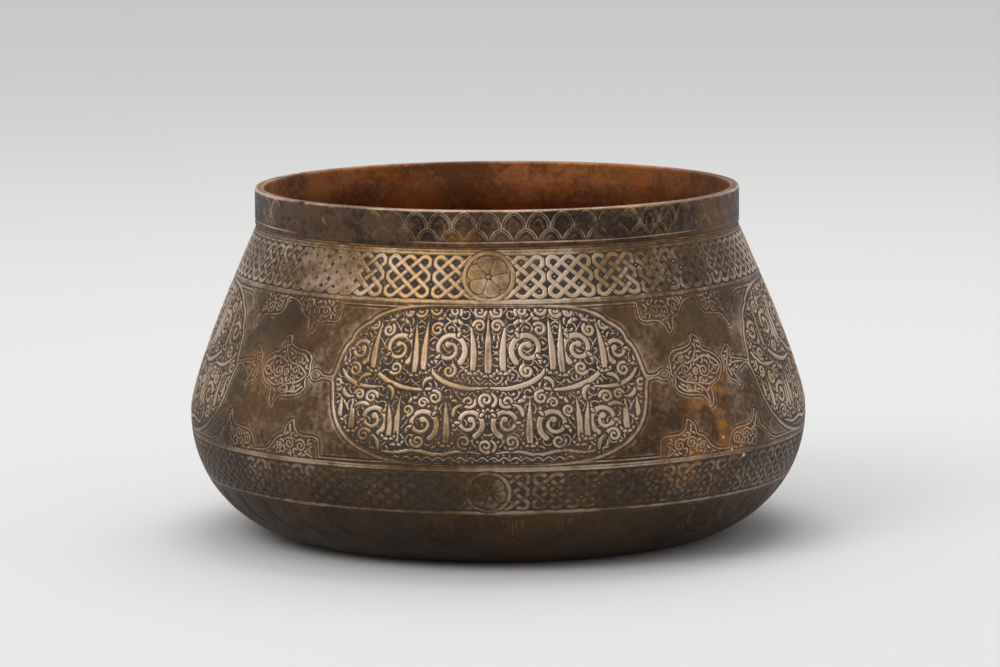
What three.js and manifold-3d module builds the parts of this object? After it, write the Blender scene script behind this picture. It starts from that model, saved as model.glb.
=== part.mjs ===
// A round-bodied copper-alloy bowl with a thick upright collar, inlaid bands and a let-in bottom.
// Millimetres, +Z up, origin at the centre of the face it stands on, front cartouche towards -Y.
import * as THREE from 'three';
import { mergeVertices } from 'three/addons/utils/BufferGeometryUtils.js';
import Module from 'manifold-3d';

const wasm = await Module();
wasm.setup();

// Outline of the outside
const mouthRadius = 90.3;
const neckHeight = 115.1;
const collarHeight = 14.1;
const neckInset = 0.2;
const bellyRadius = 115.2;
const bellyHeight = 45.6;
const standRadius = 76.0;

// Lengths of the curve handles that set how full the outline is, and its lean at the neck
const neckLean = THREE.MathUtils.degToRad(19);
const neckHandle = 4.0;
const shoulderHandle = 14.8;
const underHandle = 30.7;
const standHandle = 13.2;

// Sheet and seams
const wallThickness = 1.8;
const lipThickness = 3.3;
const lipChamfer = 0.4;
const sleeveHeight = 6.0;
const seamThickness = 0.5;
const flangeWidth = 10.0;
const bottomThickness = 1.8;
const bottomRise = 1.5;
const bottomFlatRing = 12.0;
const brazeWidth = 2.4;
const clearance = 0.3;

// Bands, measured along the outside of the wall
const plainStrip = 2.2;
const shoulderBandWidth = 16.0;
const shoulderFilletWidth = 2.1;
const bellyFilletDrop = 4.9;
const bellyFilletWidth = 2.1;
const lowerBandWidth = 15.2;
const lowerFilletWidth = 3.2;
const filletRise = 0.2;

// Inlay of black composition and the four cartouches that hold it
const inlayThickness = 0.5;
const inlaySetBack = 0.1;
const cartoucheSides = ['front', 'right', 'back', 'left'];
const cartoucheHalfAngle = THREE.MathUtils.degToRad(30.7);
const cartoucheEndPower = 2.6;
const cartoucheSidePower = 3.6;
const cartoucheOverrun = 1.0;
const cartouchePoint = 1.9;
const cartouchePointReach = 3.5;
const cartoucheBorder = 1.5;

// Facets
const turns = 64;
const outlineSteps = 160;
const patchRows = 8;
const patchColumns = 10;

const copper = new THREE.MeshStandardMaterial({ color: 0x7c5d3d, roughness: 0.42, metalness: 0.9 });
const darkCopper = new THREE.MeshStandardMaterial({ color: 0x4c3828, roughness: 0.45, metalness: 0.85 });
const brazing = new THREE.MeshStandardMaterial({ color: 0x8c7346, roughness: 0.5, metalness: 0.9 });
const composition = new THREE.MeshStandardMaterial({ color: 0x35332f, roughness: 0.85, metalness: 0.0 });

// Outside of the wall as one line: points with their distance along it from the collar's foot
function wallOutline() {
  const neck = new THREE.Vector2(mouthRadius - neckInset, neckHeight);
  const belly = new THREE.Vector2(bellyRadius, bellyHeight);
  const stand = new THREE.Vector2(standRadius, 0);
  const fromNeck = new THREE.Vector2(Math.sin(neckLean), -Math.cos(neckLean)).multiplyScalar(neckHandle);
  const shoulder = new THREE.CubicBezierCurve(
    neck,
    neck.clone().add(fromNeck),
    new THREE.Vector2(belly.x, belly.y + shoulderHandle),
    belly,
  );
  const under = new THREE.CubicBezierCurve(
    belly,
    new THREE.Vector2(belly.x, belly.y - underHandle),
    new THREE.Vector2(stand.x + standHandle, 0),
    stand,
  );
  const points = [...shoulder.getPoints(outlineSteps), ...under.getPoints(outlineSteps).slice(1)];
  const lengths = [0];
  for (let i = 1; i < points.length; i += 1) {
    lengths.push(lengths[i - 1] + points[i].distanceTo(points[i - 1]));
  }
  return { points, lengths, bellyAt: lengths[outlineSteps], end: lengths[lengths.length - 1] };
}

const outline = wallOutline();

// Point at a distance along the outline, moved outwards from the wall by an offset
function onOutline(distance, offset = 0) {
  const { points, lengths } = outline;
  let i = lengths.findIndex((length) => length >= distance);
  if (i < 0) i = lengths.length - 1;
  i = Math.max(i, 1);
  const span = lengths[i] - lengths[i - 1];
  const point = points[i - 1].clone().lerp(points[i], (distance - lengths[i - 1]) / span);
  const along = points[i].clone().sub(points[i - 1]).normalize();
  return point.add(new THREE.Vector2(-along.y, along.x).multiplyScalar(offset));
}

// Distances where the bands begin and end
const shoulderBand = { from: plainStrip, to: plainStrip + shoulderBandWidth };
const friezeFrom = shoulderBand.to + shoulderFilletWidth;
const friezeTo = outline.bellyAt + bellyFilletDrop;
const lowerBand = { from: friezeTo + bellyFilletWidth, to: friezeTo + bellyFilletWidth + lowerBandWidth };
const lowerFilletTo = lowerBand.to + lowerFilletWidth;
const inlayDepth = inlaySetBack + inlayThickness;
const channelDepth = inlayDepth + clearance;

// Evenly spaced distances between two places on the outline, both ends included
function spaced(from, to, steps) {
  return Array.from({ length: steps + 1 }, (_, i) => from + ((to - from) * i) / steps);
}

// Points along a stretch of the outline at one offset
function stretch(from, to, offset, steps) {
  return spaced(from, to, steps).map((distance) => onOutline(distance, offset));
}

// Solid turned about Z from a profile of radii and heights, whose last point joins its first
function turned(profile) {
  const closed = [...profile, profile[0]];
  const geometry = new THREE.LatheGeometry(closed.map((point) => point.clone()), turns);
  geometry.rotateX(Math.PI / 2);
  return oriented(weld(geometry));
}

// Shared vertices only, with no slivers left at the axis
function weld(geometry) {
  geometry.deleteAttribute('normal');
  geometry.deleteAttribute('uv');
  const merged = mergeVertices(geometry, 1e-4);
  const index = merged.index.array;
  const kept = [];
  for (let i = 0; i < index.length; i += 3) {
    const [a, b, c] = [index[i], index[i + 1], index[i + 2]];
    if (a !== b && b !== c && c !== a) kept.push(a, b, c);
  }
  merged.setIndex(kept);
  return merged;
}

// Faces turned outwards, told by the sign of the enclosed volume
function oriented(geometry) {
  const position = geometry.attributes.position;
  const index = Array.from(geometry.index.array);
  const [a, b, c] = [new THREE.Vector3(), new THREE.Vector3(), new THREE.Vector3()];
  let volume = 0;
  for (let i = 0; i < index.length; i += 3) {
    a.fromBufferAttribute(position, index[i]);
    b.fromBufferAttribute(position, index[i + 1]);
    c.fromBufferAttribute(position, index[i + 2]);
    volume += a.dot(b.cross(c));
  }
  if (volume < 0) {
    for (let i = 0; i < index.length; i += 3) [index[i], index[i + 1]] = [index[i + 1], index[i]];
  }
  geometry.setIndex(index);
  return geometry;
}

function solidOf(geometry) {
  return new wasm.Manifold(new wasm.Mesh({
    numProp: 3,
    vertProperties: new Float32Array(geometry.attributes.position.array),
    triVerts: new Uint32Array(geometry.index.array),
  }));
}

function geometryOf(solid) {
  const mesh = solid.getMesh();
  const geometry = new THREE.BufferGeometry();
  geometry.setAttribute('position', new THREE.BufferAttribute(new Float32Array(mesh.vertProperties), 3));
  geometry.setIndex(Array.from(mesh.triVerts));
  return geometry;
}

// Half angle that a cartouche spans at a distance down the frieze, drawn in by an inset
function cartoucheSpread(distance, inset) {
  const middle = (friezeFrom + friezeTo) / 2;
  const reach = (friezeTo - friezeFrom) / 2 + cartoucheOverrun;
  const part = Math.min(Math.abs(distance - middle) / reach, 1);
  const lobe = cartoucheHalfAngle * (1 - part ** cartoucheEndPower) ** (1 / cartoucheSidePower);
  const point = cartouchePoint * Math.exp(-Math.abs(distance - middle) / cartouchePointReach);
  return lobe + (point - inset) / onOutline(distance).x;
}

// Patch of the wall inside a cartouche's border, between two offsets and grown by a margin
function cartouchePatch(middleAngle, margin, lowOffset, highOffset) {
  const rows = spaced(friezeFrom + cartoucheBorder, friezeTo - cartoucheBorder, patchRows);
  const columns = patchColumns + 1;
  const layer = rows.length * columns;
  const positions = [];
  for (const offset of [highOffset, lowOffset]) {
    for (const [row, distance] of rows.entries()) {
      const spread = cartoucheSpread(distance, cartoucheBorder - margin);
      const end = row === 0 ? -margin : row === patchRows ? margin : 0;
      const { x: radius, y: height } = onOutline(distance + end, offset);
      for (const share of spaced(-1, 1, patchColumns)) {
        const angle = middleAngle + spread * share;
        positions.push(radius * Math.cos(angle), radius * Math.sin(angle), height);
      }
    }
  }
  const index = [];
  const quad = (a, b, c, d) => index.push(a, b, c, a, c, d);
  for (let i = 0; i < patchRows; i += 1) {
    for (let j = 0; j < patchColumns; j += 1) {
      const [a, b] = [i * columns + j, i * columns + j + 1];
      const [d, c] = [a + columns, b + columns];
      quad(a, d, c, b);
      quad(a + layer, b + layer, c + layer, d + layer);
    }
  }
  for (let j = 0; j < patchColumns; j += 1) {
    const below = patchRows * columns + j;
    quad(j, j + 1, j + 1 + layer, j + layer);
    quad(below + 1, below, below + layer, below + 1 + layer);
  }
  for (let i = 0; i < patchRows; i += 1) {
    const left = i * columns;
    const right = left + patchColumns;
    quad(left + columns, left, left + layer, left + columns + layer);
    quad(right, right + columns, right + columns + layer, right + layer);
  }
  const geometry = new THREE.BufferGeometry();
  geometry.setAttribute('position', new THREE.BufferAttribute(new Float32Array(positions), 3));
  geometry.setIndex(index);
  return oriented(geometry);
}

const innerRadius = mouthRadius - lipThickness;
const sleeveRadius = innerRadius + wallThickness;
const sleeveTop = neckHeight + sleeveHeight;
const rimHeight = neckHeight + collarHeight;
const collarFoot = neckHeight + seamThickness + 2 * clearance;
const bottomUnder = wallThickness + clearance;
const bottomTop = bottomUnder + bottomThickness;
const bottomRadius = standRadius - brazeWidth - 2 * clearance;

// The raised wall: sleeve at the neck, shoulder, belly, turn and flat flange underneath
function bowlWall() {
  const outside = [
    new THREE.Vector2(sleeveRadius, sleeveTop),
    new THREE.Vector2(sleeveRadius, neckHeight),
    onOutline(0),
    onOutline(shoulderBand.from),
    ...stretch(shoulderBand.from, shoulderBand.to, -channelDepth, 2),
    onOutline(shoulderBand.to, filletRise),
    onOutline(friezeFrom, filletRise),
    ...stretch(friezeFrom, friezeTo, 0, 8),
    onOutline(friezeTo, filletRise),
    onOutline(lowerBand.from, filletRise),
    ...stretch(lowerBand.from, lowerBand.to, -channelDepth, 3),
    onOutline(lowerBand.to, filletRise),
    onOutline(lowerFilletTo, filletRise),
    ...stretch(lowerFilletTo, outline.end, 0, 5),
    new THREE.Vector2(standRadius - flangeWidth, 0),
  ];
  const inside = [
    new THREE.Vector2(standRadius - flangeWidth, wallThickness),
    ...stretch(lowerFilletTo, outline.end, -wallThickness, 6).reverse(),
    ...stretch(plainStrip, lowerFilletTo, -wallThickness, 6).slice(0, -1).reverse(),
    new THREE.Vector2(innerRadius, neckHeight - wallThickness / 2),
    new THREE.Vector2(innerRadius, sleeveTop),
  ];
  let solid = solidOf(turned([...outside, ...inside]));
  for (const angle of cartoucheAngles()) {
    const pocket = cartouchePatch(angle, clearance, -channelDepth, wallThickness);
    solid = solid.subtract(solidOf(pocket));
  }
  return geometryOf(solid);
}

// The thick upright band of the mouth, rebated over the sleeve
function rimCollar() {
  return turned([
    new THREE.Vector2(innerRadius, rimHeight - lipChamfer),
    new THREE.Vector2(innerRadius + lipChamfer, rimHeight),
    new THREE.Vector2(mouthRadius - lipChamfer, rimHeight),
    new THREE.Vector2(mouthRadius, rimHeight - lipChamfer),
    new THREE.Vector2(mouthRadius, collarFoot + lipChamfer),
    new THREE.Vector2(mouthRadius - lipChamfer, collarFoot),
    new THREE.Vector2(sleeveRadius + clearance, collarFoot),
    new THREE.Vector2(sleeveRadius + clearance, sleeveTop + clearance),
    new THREE.Vector2(innerRadius, sleeveTop + clearance),
  ]);
}

// The seam of brazing under the collar's foot
function collarBraze() {
  const [low, high] = [neckHeight + clearance, neckHeight + clearance + seamThickness];
  const [inner, outer] = [sleeveRadius + clearance, mouthRadius - neckInset - clearance];
  return turned([
    new THREE.Vector2(inner, high),
    new THREE.Vector2(outer, high),
    new THREE.Vector2(outer, low),
    new THREE.Vector2(inner, low),
  ]);
}

// The bottom disc, laid on the flange and pushed up in its middle
function bottomDisc() {
  const domeRadius = bottomRadius - bottomFlatRing;
  const section = (height) => [
    new THREE.Vector2(0, height + bottomRise),
    new THREE.Vector2(domeRadius / 2, height + bottomRise * 0.75),
    new THREE.Vector2(domeRadius, height),
    new THREE.Vector2(bottomRadius, height),
  ];
  return turned([...section(bottomTop), ...section(bottomUnder).reverse()]);
}

// The ring of brazing in the angle between the disc's edge and the flange
function bottomBraze() {
  const inner = bottomRadius + clearance;
  return turned([
    new THREE.Vector2(inner, bottomTop - clearance),
    new THREE.Vector2(inner + brazeWidth, bottomUnder + clearance),
    new THREE.Vector2(inner + brazeWidth, bottomUnder),
    new THREE.Vector2(inner, bottomUnder),
  ]);
}

// A ring of composition in a band's channel
function bandInlay(band, steps) {
  const [from, to] = [band.from + clearance, band.to - clearance];
  return turned([
    ...stretch(from, to, -inlaySetBack, steps),
    ...stretch(from, to, -inlayDepth, steps).reverse(),
  ]);
}

// Middle angles of the cartouches, front first and then towards +X
function cartoucheAngles() {
  return cartoucheSides.map((_, i) => -Math.PI / 2 + (i * 2 * Math.PI) / cartoucheSides.length);
}

const bowl = new THREE.Group();

function put(name, geometry, material) {
  const mesh = new THREE.Mesh(geometry, material);
  mesh.name = name;
  bowl.add(mesh);
}

put('bowl_wall', bowlWall(), copper);
put('rim_collar', rimCollar(), darkCopper);
put('collar_braze', collarBraze(), brazing);
put('bottom_disc', bottomDisc(), darkCopper);
put('bottom_braze', bottomBraze(), brazing);
put('shoulder_band_inlay', bandInlay(shoulderBand, 2), composition);
put('lower_band_inlay', bandInlay(lowerBand, 3), composition);
cartoucheAngles().forEach((angle, i) => {
  const inlay = cartouchePatch(angle, 0, -inlayDepth, -inlaySetBack);
  put(`cartouche_inlay_${cartoucheSides[i]}`, inlay, composition);
});

export default bowl;
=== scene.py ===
"""The looks of a round-bodied inlaid copper bowl: carved wall, collar, inlay, bottom and finishes."""

import logging
from dataclasses import dataclass, field, replace
from enum import Enum
from functools import cached_property

import bpy
import numpy as np
from mathutils import Matrix, Vector


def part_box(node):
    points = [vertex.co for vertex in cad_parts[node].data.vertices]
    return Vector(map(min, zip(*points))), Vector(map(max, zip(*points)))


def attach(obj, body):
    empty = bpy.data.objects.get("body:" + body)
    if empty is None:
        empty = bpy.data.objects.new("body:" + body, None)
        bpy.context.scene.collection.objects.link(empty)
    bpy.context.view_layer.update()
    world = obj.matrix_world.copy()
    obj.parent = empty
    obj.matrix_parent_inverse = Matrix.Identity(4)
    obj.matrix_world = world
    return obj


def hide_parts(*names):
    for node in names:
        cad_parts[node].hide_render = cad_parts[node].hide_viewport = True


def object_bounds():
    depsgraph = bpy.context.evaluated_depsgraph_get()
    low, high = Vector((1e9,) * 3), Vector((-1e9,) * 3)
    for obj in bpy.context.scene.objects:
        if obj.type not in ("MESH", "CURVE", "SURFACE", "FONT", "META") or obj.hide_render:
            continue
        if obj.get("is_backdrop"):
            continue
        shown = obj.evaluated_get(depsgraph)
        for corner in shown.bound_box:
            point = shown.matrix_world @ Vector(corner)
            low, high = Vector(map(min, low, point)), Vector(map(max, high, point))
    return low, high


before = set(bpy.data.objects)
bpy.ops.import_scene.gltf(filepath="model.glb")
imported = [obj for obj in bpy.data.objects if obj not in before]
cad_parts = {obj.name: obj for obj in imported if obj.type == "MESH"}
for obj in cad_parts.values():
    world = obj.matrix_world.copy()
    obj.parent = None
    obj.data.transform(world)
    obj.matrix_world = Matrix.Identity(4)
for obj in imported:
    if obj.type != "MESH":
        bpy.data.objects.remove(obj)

MM = 0.001
TURN = 2 * np.pi
QUARTER = np.pi / 2
BODY = "root"
PLAIN = 0.42
SKIN = 0.95
LOG = logging.getLogger("bowl")


class Slot(Enum):
    """The record's material slots."""

    WALL = "copper_wall"
    DARK = "dark_copper"
    BRAZING = "brazing"
    PASTE = "black_composition"


class Side(Enum):
    """The four sides of the bowl, counted from the front towards +X."""

    FRONT = 0
    RIGHT = 1
    BACK = 2
    LEFT = 3

    @property
    def label(self) -> str:
        """The side's name as pieces and solids have it."""
        return self.name.lower()

    @property
    def angle(self) -> float:
        """Angle of the side's middle round the bowl."""
        return self.value * QUARTER


def degrees(value: float) -> float:
    """An angle in degrees as radians."""
    return float(np.radians(value))


def ease(low: float, high: float, value: np.ndarray) -> np.ndarray:
    """A smooth step: 0 below low, 1 above high, and 3t^2 - 2t^3 between them.

    Args:
        low: Value at which the step starts to rise.
        high: Value at which it is full.
        value: What is measured.

    Returns:
        The step at each value.
    """
    share = np.clip((value - low) / (high - low), 0, 1)
    return share * share * (3 - 2 * share)


def around(angle: np.ndarray, radius: np.ndarray, height: np.ndarray) -> np.ndarray:
    """Points in metres, (r sin a, -r cos a, h), from millimetres and angles from the front towards +X."""
    parts = np.broadcast_arrays(radius * np.sin(angle), -radius * np.cos(angle), height + 0 * angle)
    return np.stack(parts, -1) * MM


def on_wall(angle: float, radius: float, height: float) -> tuple:
    """One such point, from degrees round from the front."""
    return tuple(around(np.array(degrees(angle)), radius, height).tolist())


def spiral(radius: np.ndarray | float, angle: np.ndarray) -> np.ndarray:
    """Steps across and down of radii turned by angles: (r cos a, r sin a), one row each."""
    return np.column_stack([radius * np.cos(angle), radius * np.sin(angle)])


def cubic(start: tuple, first: tuple, second: tuple, end: tuple, count: int) -> np.ndarray:
    """A cubic curve between two ends with two handles, as the usual sum of powers of t and 1 - t.

    Args:
        start: First end, as two numbers.
        first: Handle of the first end.
        second: Handle of the other end.
        end: Other end.
        count: Points on the curve.

    Returns:
        The points, one row each.
    """
    share = np.linspace(0, 1, count)[:, None]
    rest = 1 - share
    parts = [rest**3, 3 * rest**2 * share, 3 * rest * share**2, share**3]
    return sum(part * np.array(point, float) for part, point in zip(parts, (start, first, second, end)))


def through(points: tuple, count: int = 32, closed: bool = False) -> np.ndarray:
    """A smooth path through points: a Catmull-Rom spline, each span a cubic with slopes of half its chords.

    Args:
        points: Places that the path passes, as pairs.
        count: Points on the path.
        closed: Whether the path returns to its first place.

    Returns:
        The points of the path, one row each.
    """
    knots = np.array(points, float)
    if closed:
        knots = np.vstack([knots[-1], knots, knots[0], knots[1]])
    else:
        knots = np.vstack([2 * knots[0] - knots[1], knots, 2 * knots[-1] - knots[-2]])
    spans = len(knots) - 3
    place = np.linspace(0, spans, count, endpoint=not closed)
    index = np.minimum(place.astype(int), spans - 1)
    t = (place - index)[:, None]
    a, b, c, d = (knots[index + shift] for shift in range(4))
    return 0.5 * (2 * b + (c - a) * t + (2 * a - 5 * b + 4 * c - d) * t**2 + (3 * b - a - 3 * c + d) * t**3)


@dataclass(frozen=True)
class Outline:
    """The outside of the wall, as radius and height in millimetres against the distance down it."""

    mouth_radius: float
    neck_height: float
    neck_inset: float = 0.2
    neck_lean: float = degrees(19)
    neck_handle: float = 4.0
    belly_radius: float = 115.2
    belly_height: float = 45.6
    shoulder_handle: float = 14.8
    under_handle: float = 30.7
    stand_radius: float = 76.0
    stand_handle: float = 13.2
    flange_width: float = 10.0
    wall: float = 1.8
    lip: float = 3.3
    steps: int = 400
    flange_steps: int = 12

    @classmethod
    def of_frame(cls) -> "Outline":
        """The outline whose mouth and neck are read from the solids.

        Returns:
            The outline.
        """
        seam_clearance = 0.3
        collar_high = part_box("rim_collar")[1]
        seam_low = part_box("collar_braze")[0]
        return cls(collar_high[0] / MM, seam_low[2] / MM - seam_clearance)

    @cached_property
    def table(self) -> np.ndarray:
        """The line of the outside: two cubics and the flat flange.

        Returns:
            A row for each point: distance, radius, height and the two parts of the outward normal.
        """
        neck = (self.mouth_radius - self.neck_inset, self.neck_height)
        lean = (np.sin(self.neck_lean) * self.neck_handle, -np.cos(self.neck_lean) * self.neck_handle)
        belly, stand = (self.belly_radius, self.belly_height), (self.stand_radius, 0.0)
        above, below = (belly[0], belly[1] + self.shoulder_handle), (belly[0], belly[1] - self.under_handle)
        shoulder = cubic(neck, (neck[0] + lean[0], neck[1] + lean[1]), above, belly, self.steps)
        under = cubic(belly, below, (stand[0] + self.stand_handle, 0.0), stand, self.steps)
        flange = np.linspace(stand, (stand[0] - self.flange_width, 0.0), self.flange_steps)
        line = np.vstack([shoulder, under[1:], flange[1:]])
        distance = np.concatenate([[0], np.cumsum(np.hypot(*np.diff(line, axis=0).T))])
        along = np.gradient(line, distance, axis=0)
        along /= np.linalg.norm(along, axis=1)[:, None]
        return np.column_stack([distance, line, -along[:, 1], along[:, 0]])

    @cached_property
    def belly_at(self) -> float:
        """Distance down the wall of its widest level."""
        return float(self.table[self.steps - 1, 0])

    @cached_property
    def stand_at(self) -> float:
        """Distance down the wall at which it turns flat."""
        return float(self.table[2 * self.steps - 2, 0])

    @cached_property
    def end_at(self) -> float:
        """Distance down the wall at which its flange ends."""
        return float(self.table[-1, 0])

    def radius(self, distance: np.ndarray) -> np.ndarray:
        """Radius of the outside at each distance down the wall."""
        return np.interp(distance, self.table[:, 0], self.table[:, 1])

    def section(self, distance: np.ndarray, offset: np.ndarray) -> tuple:
        """Radii and heights of points moved outwards from the wall along its normal, by millimetres.

        Args:
            distance: Distance down the wall.
            offset: How far each point is moved.

        Returns:
            Both in millimetres.
        """
        levels, *parts = self.table.T
        radius, height, out, up = (np.interp(distance, levels, part) for part in parts)
        return radius + offset * out, height + offset * up

    def place(self, angle: np.ndarray, distance: np.ndarray, offset: np.ndarray) -> np.ndarray:
        """Points in metres: the section turned about Z."""
        return around(angle, *self.section(distance, offset))


@dataclass(frozen=True)
class Levels:
    """Where the bands begin and end, as distances down the wall in millimetres."""

    outline: Outline
    plain_strip: float = 2.2
    shoulder_band: float = 16.0
    fillet: float = 2.1
    belly_fillet_drop: float = 4.9
    lower_band: float = 15.2
    lower_fillet: float = 3.2
    lappets: float = 14.0
    overlap: float = 1.0
    turn_overlap: float = 1.7

    @property
    def shoulder_end(self) -> float:
        """Lower edge of the shoulder's knotwork."""
        return self.plain_strip + self.shoulder_band

    @property
    def frieze_top(self) -> float:
        """Upper edge of the frieze with the cartouches."""
        return self.shoulder_end + self.fillet

    @property
    def frieze_end(self) -> float:
        """Lower edge of the frieze."""
        return self.outline.belly_at + self.belly_fillet_drop

    @property
    def lower_top(self) -> float:
        """Upper edge of the lower knotwork."""
        return self.frieze_end + self.fillet

    @property
    def lower_end(self) -> float:
        """Lower edge of the lower knotwork."""
        return self.lower_top + self.lower_band

    @property
    def under_top(self) -> float:
        """Where the row of lappets on the turn begins."""
        return self.lower_end + self.lower_fillet

    @property
    def tile_edges(self) -> tuple:
        """Where one tile of the wall ends and the next one begins, inside the fillets."""
        frieze_end = self.frieze_end + self.overlap
        return 0.0, self.shoulder_end + self.overlap, frieze_end, self.lower_end + self.turn_overlap


def undulation(angle: np.ndarray, distance: np.ndarray) -> np.ndarray:
    """Slight unevenness of hammered sheet: waves round and down the wall, between about -0.16 and 0 mm.

    Args:
        angle: Angle round the bowl.
        distance: Distance down the wall.

    Returns:
        Offsets in millimetres.
    """
    waves = (
        (3, 0.05, 0.4), (7, -0.11, 1.9), (11, 0.17, 3.1), (17, -0.23, 5.0), (26, 0.31, 0.9), (37, 0.43, 2.2),
    )
    total = sum(np.sin(turns * angle + rate * distance + phase) for turns, rate, phase in waves)
    return 0.013 * total - 0.08


def blurred(values: np.ndarray, reach: int) -> np.ndarray:
    """A box average over a square of cells, made from running sums along both directions.

    Args:
        values: Values on a grid, held outside its edges.
        reach: Cells that the square reaches to each side.

    Returns:
        The averaged grid.
    """
    width = 2 * reach + 1
    for axis in (0, 1):
        pad = [(reach + 1, reach) if k == axis else (0, 0) for k in (0, 1)]
        sums = np.cumsum(np.pad(values, pad, mode="edge"), axis=axis)
        front, back = [slice(None)] * 2, [slice(None)] * 2
        front[axis], back[axis] = slice(width, None), slice(0, -width)
        values = (sums[tuple(front)] - sums[tuple(back)]) / width
    return values


def rubbed(height: np.ndarray, base: np.ndarray, gain: float, reach: int = 3) -> np.ndarray:
    """How bright metal is rubbed: brighter where it stands above its surroundings, darker below them.

    Args:
        height: Relief in millimetres.
        base: Brightness of the plain surface there.
        gain: Change of brightness for each millimetre above the surroundings.
        reach: Cells over which these are averaged.

    Returns:
        The brightness, from 0 to 1.
    """
    return np.clip(base + gain * (height - blurred(height, reach)), 0, 1)


class Mesher:
    """Puts arrays of points and faces into Blender meshes."""

    @staticmethod
    def object(name: str, points: np.ndarray, faces: list, worn: np.ndarray) -> bpy.types.Object:
        """A mesh object at the origin, linked into the scene.

        Args:
            name: The piece's name.
            points: Vertices in metres, one row each.
            faces: Arrays of faces; each array's rows have the same number of corners.
            worn: Brightness of each vertex, stored as the attribute that the finishes read.

        Returns:
            The object.
        """
        mesh = bpy.data.meshes.new(name)
        loops = np.concatenate([block.ravel() for block in faces]).astype(np.int32)
        sizes = np.concatenate([np.full(len(block), block.shape[1]) for block in faces]).astype(np.int32)
        starts = np.concatenate([[0], np.cumsum(sizes)[:-1]]).astype(np.int32)
        mesh.vertices.add(len(points))
        mesh.vertices.foreach_set("co", np.ascontiguousarray(points, np.float32).ravel())
        mesh.loops.add(len(loops))
        mesh.loops.foreach_set("vertex_index", loops)
        mesh.polygons.add(len(sizes))
        mesh.polygons.foreach_set("loop_start", starts)
        mesh.update(calc_edges=True)
        mesh.validate()
        mesh.shade_smooth()
        mesh.set_sharp_from_angle(angle=degrees(72))
        layer = mesh.attributes.new("worn", "FLOAT", "POINT")
        layer.data.foreach_set("value", np.ascontiguousarray(worn, np.float32).ravel())
        piece = bpy.data.objects.new(name, mesh)
        bpy.context.scene.collection.objects.link(piece)
        return piece

    @staticmethod
    def quads(rows: int, columns: int, ring: bool, first: int = 0, flip: bool = False) -> np.ndarray:
        """Faces of a grid whose rows go down and whose columns go round, pointing outwards unless flipped.

        Args:
            rows: Points down the grid.
            columns: Points round the grid.
            ring: Whether the last column joins the first.
            first: Number of the grid's first vertex.
            flip: Whether the faces point inwards.

        Returns:
            The faces, four corners in each row.
        """
        last = columns if ring else columns - 1
        down, across = np.meshgrid(np.arange(rows - 1), np.arange(last), indexing="ij")
        here, beside = down * columns + across, down * columns + (across + 1) % columns
        corners = [here, here + columns, beside + columns, beside]
        if flip:
            corners = corners[::-1]
        return np.stack(corners, -1).reshape(-1, 4) + first

    @classmethod
    def shell(
        cls, name: str, front: np.ndarray, back: np.ndarray, ring: bool, worn: np.ndarray | None = None
    ) -> bpy.types.Object:
        """A closed thin shell between a finely divided front and a plainer back with as many columns.

        Args:
            name: The piece's name.
            front: Grid of points of the outer face, rows down and columns round.
            back: Grid of points of the hidden face.
            ring: Whether the shell goes all the way round.
            worn: Brightness of the front's points.

        Returns:
            The object.
        """
        rows, columns = front.shape[:2]
        back_rows = back.shape[0]
        start = rows * columns
        faces = [cls.quads(rows, columns, ring), cls.quads(back_rows, columns, ring, start, flip=True)]
        across = np.arange(columns if ring else columns - 1)
        beside = (across + 1) % columns
        low, back_low = (rows - 1) * columns, start + (back_rows - 1) * columns
        faces.append(np.stack([across, beside, beside + start, across + start], -1))
        faces.append(np.stack([beside + low, across + low, across + back_low, beside + back_low], -1))
        if not ring:
            edge, back_edge = np.arange(rows) * columns, start + np.arange(back_rows) * columns
            if rows == back_rows:
                left = np.stack([edge[:-1], back_edge[:-1], back_edge[1:], edge[1:]], -1)
                faces += [left, left[:, ::-1] + columns - 1]
            else:
                faces.append(np.concatenate([edge[::-1], back_edge])[None])
                faces.append(np.concatenate([edge, back_edge[::-1]])[None] + columns - 1)
        points = np.concatenate([front.reshape(-1, 3), back.reshape(-1, 3)])
        bright = np.full(len(points), PLAIN)
        if worn is not None:
            bright[:start] = worn.ravel()
        return cls.object(name, points, faces, bright)

    @classmethod
    def turned(
        cls, name: str, profile: np.ndarray, columns: int, waver: float = 0.0, worn: np.ndarray | None = None
    ) -> bpy.types.Object:
        """A profile turned about Z: a closed ring, or a solid where both of its ends are on the axis.

        Args:
            name: The piece's name.
            profile: Radii and heights in millimetres, from the outside's top downwards and back up inside.
            columns: Points round the piece.
            waver: Share of the sheet's undulation by which the radius varies.
            worn: Brightness of each point of the profile.

        Returns:
            The object.
        """
        solid = profile[0, 0] == 0
        body = profile[1:-1] if solid else profile
        angle = np.linspace(0, TURN, columns, endpoint=False)[None, :]
        radius, height = body[:, :1], body[:, 1:]
        radius = radius + waver * undulation(angle, height + radius)
        points = around(angle, radius, height).reshape(-1, 3)
        rows = len(body)
        faces = [cls.quads(rows, columns, ring=True)]
        across = np.arange(columns)
        beside = (across + 1) % columns
        last = (rows - 1) * columns
        bright = np.full(len(profile), PLAIN) if worn is None else worn
        if solid:
            points = np.concatenate([points, [[0, 0, profile[0, 1] * MM], [0, 0, profile[-1, 1] * MM]]])
            upper = np.full(columns, rows * columns)
            faces.append(np.stack([upper, across, beside], -1))
            faces.append(np.stack([upper + 1, beside + last, across + last], -1))
            bright = np.concatenate([np.repeat(bright[1:-1], columns), bright[[0, -1]]])
        else:
            faces.append(np.stack([across + last, across, beside, beside + last], -1))
            bright = np.repeat(bright, columns)
        return cls.object(name, points, faces, bright)


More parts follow.
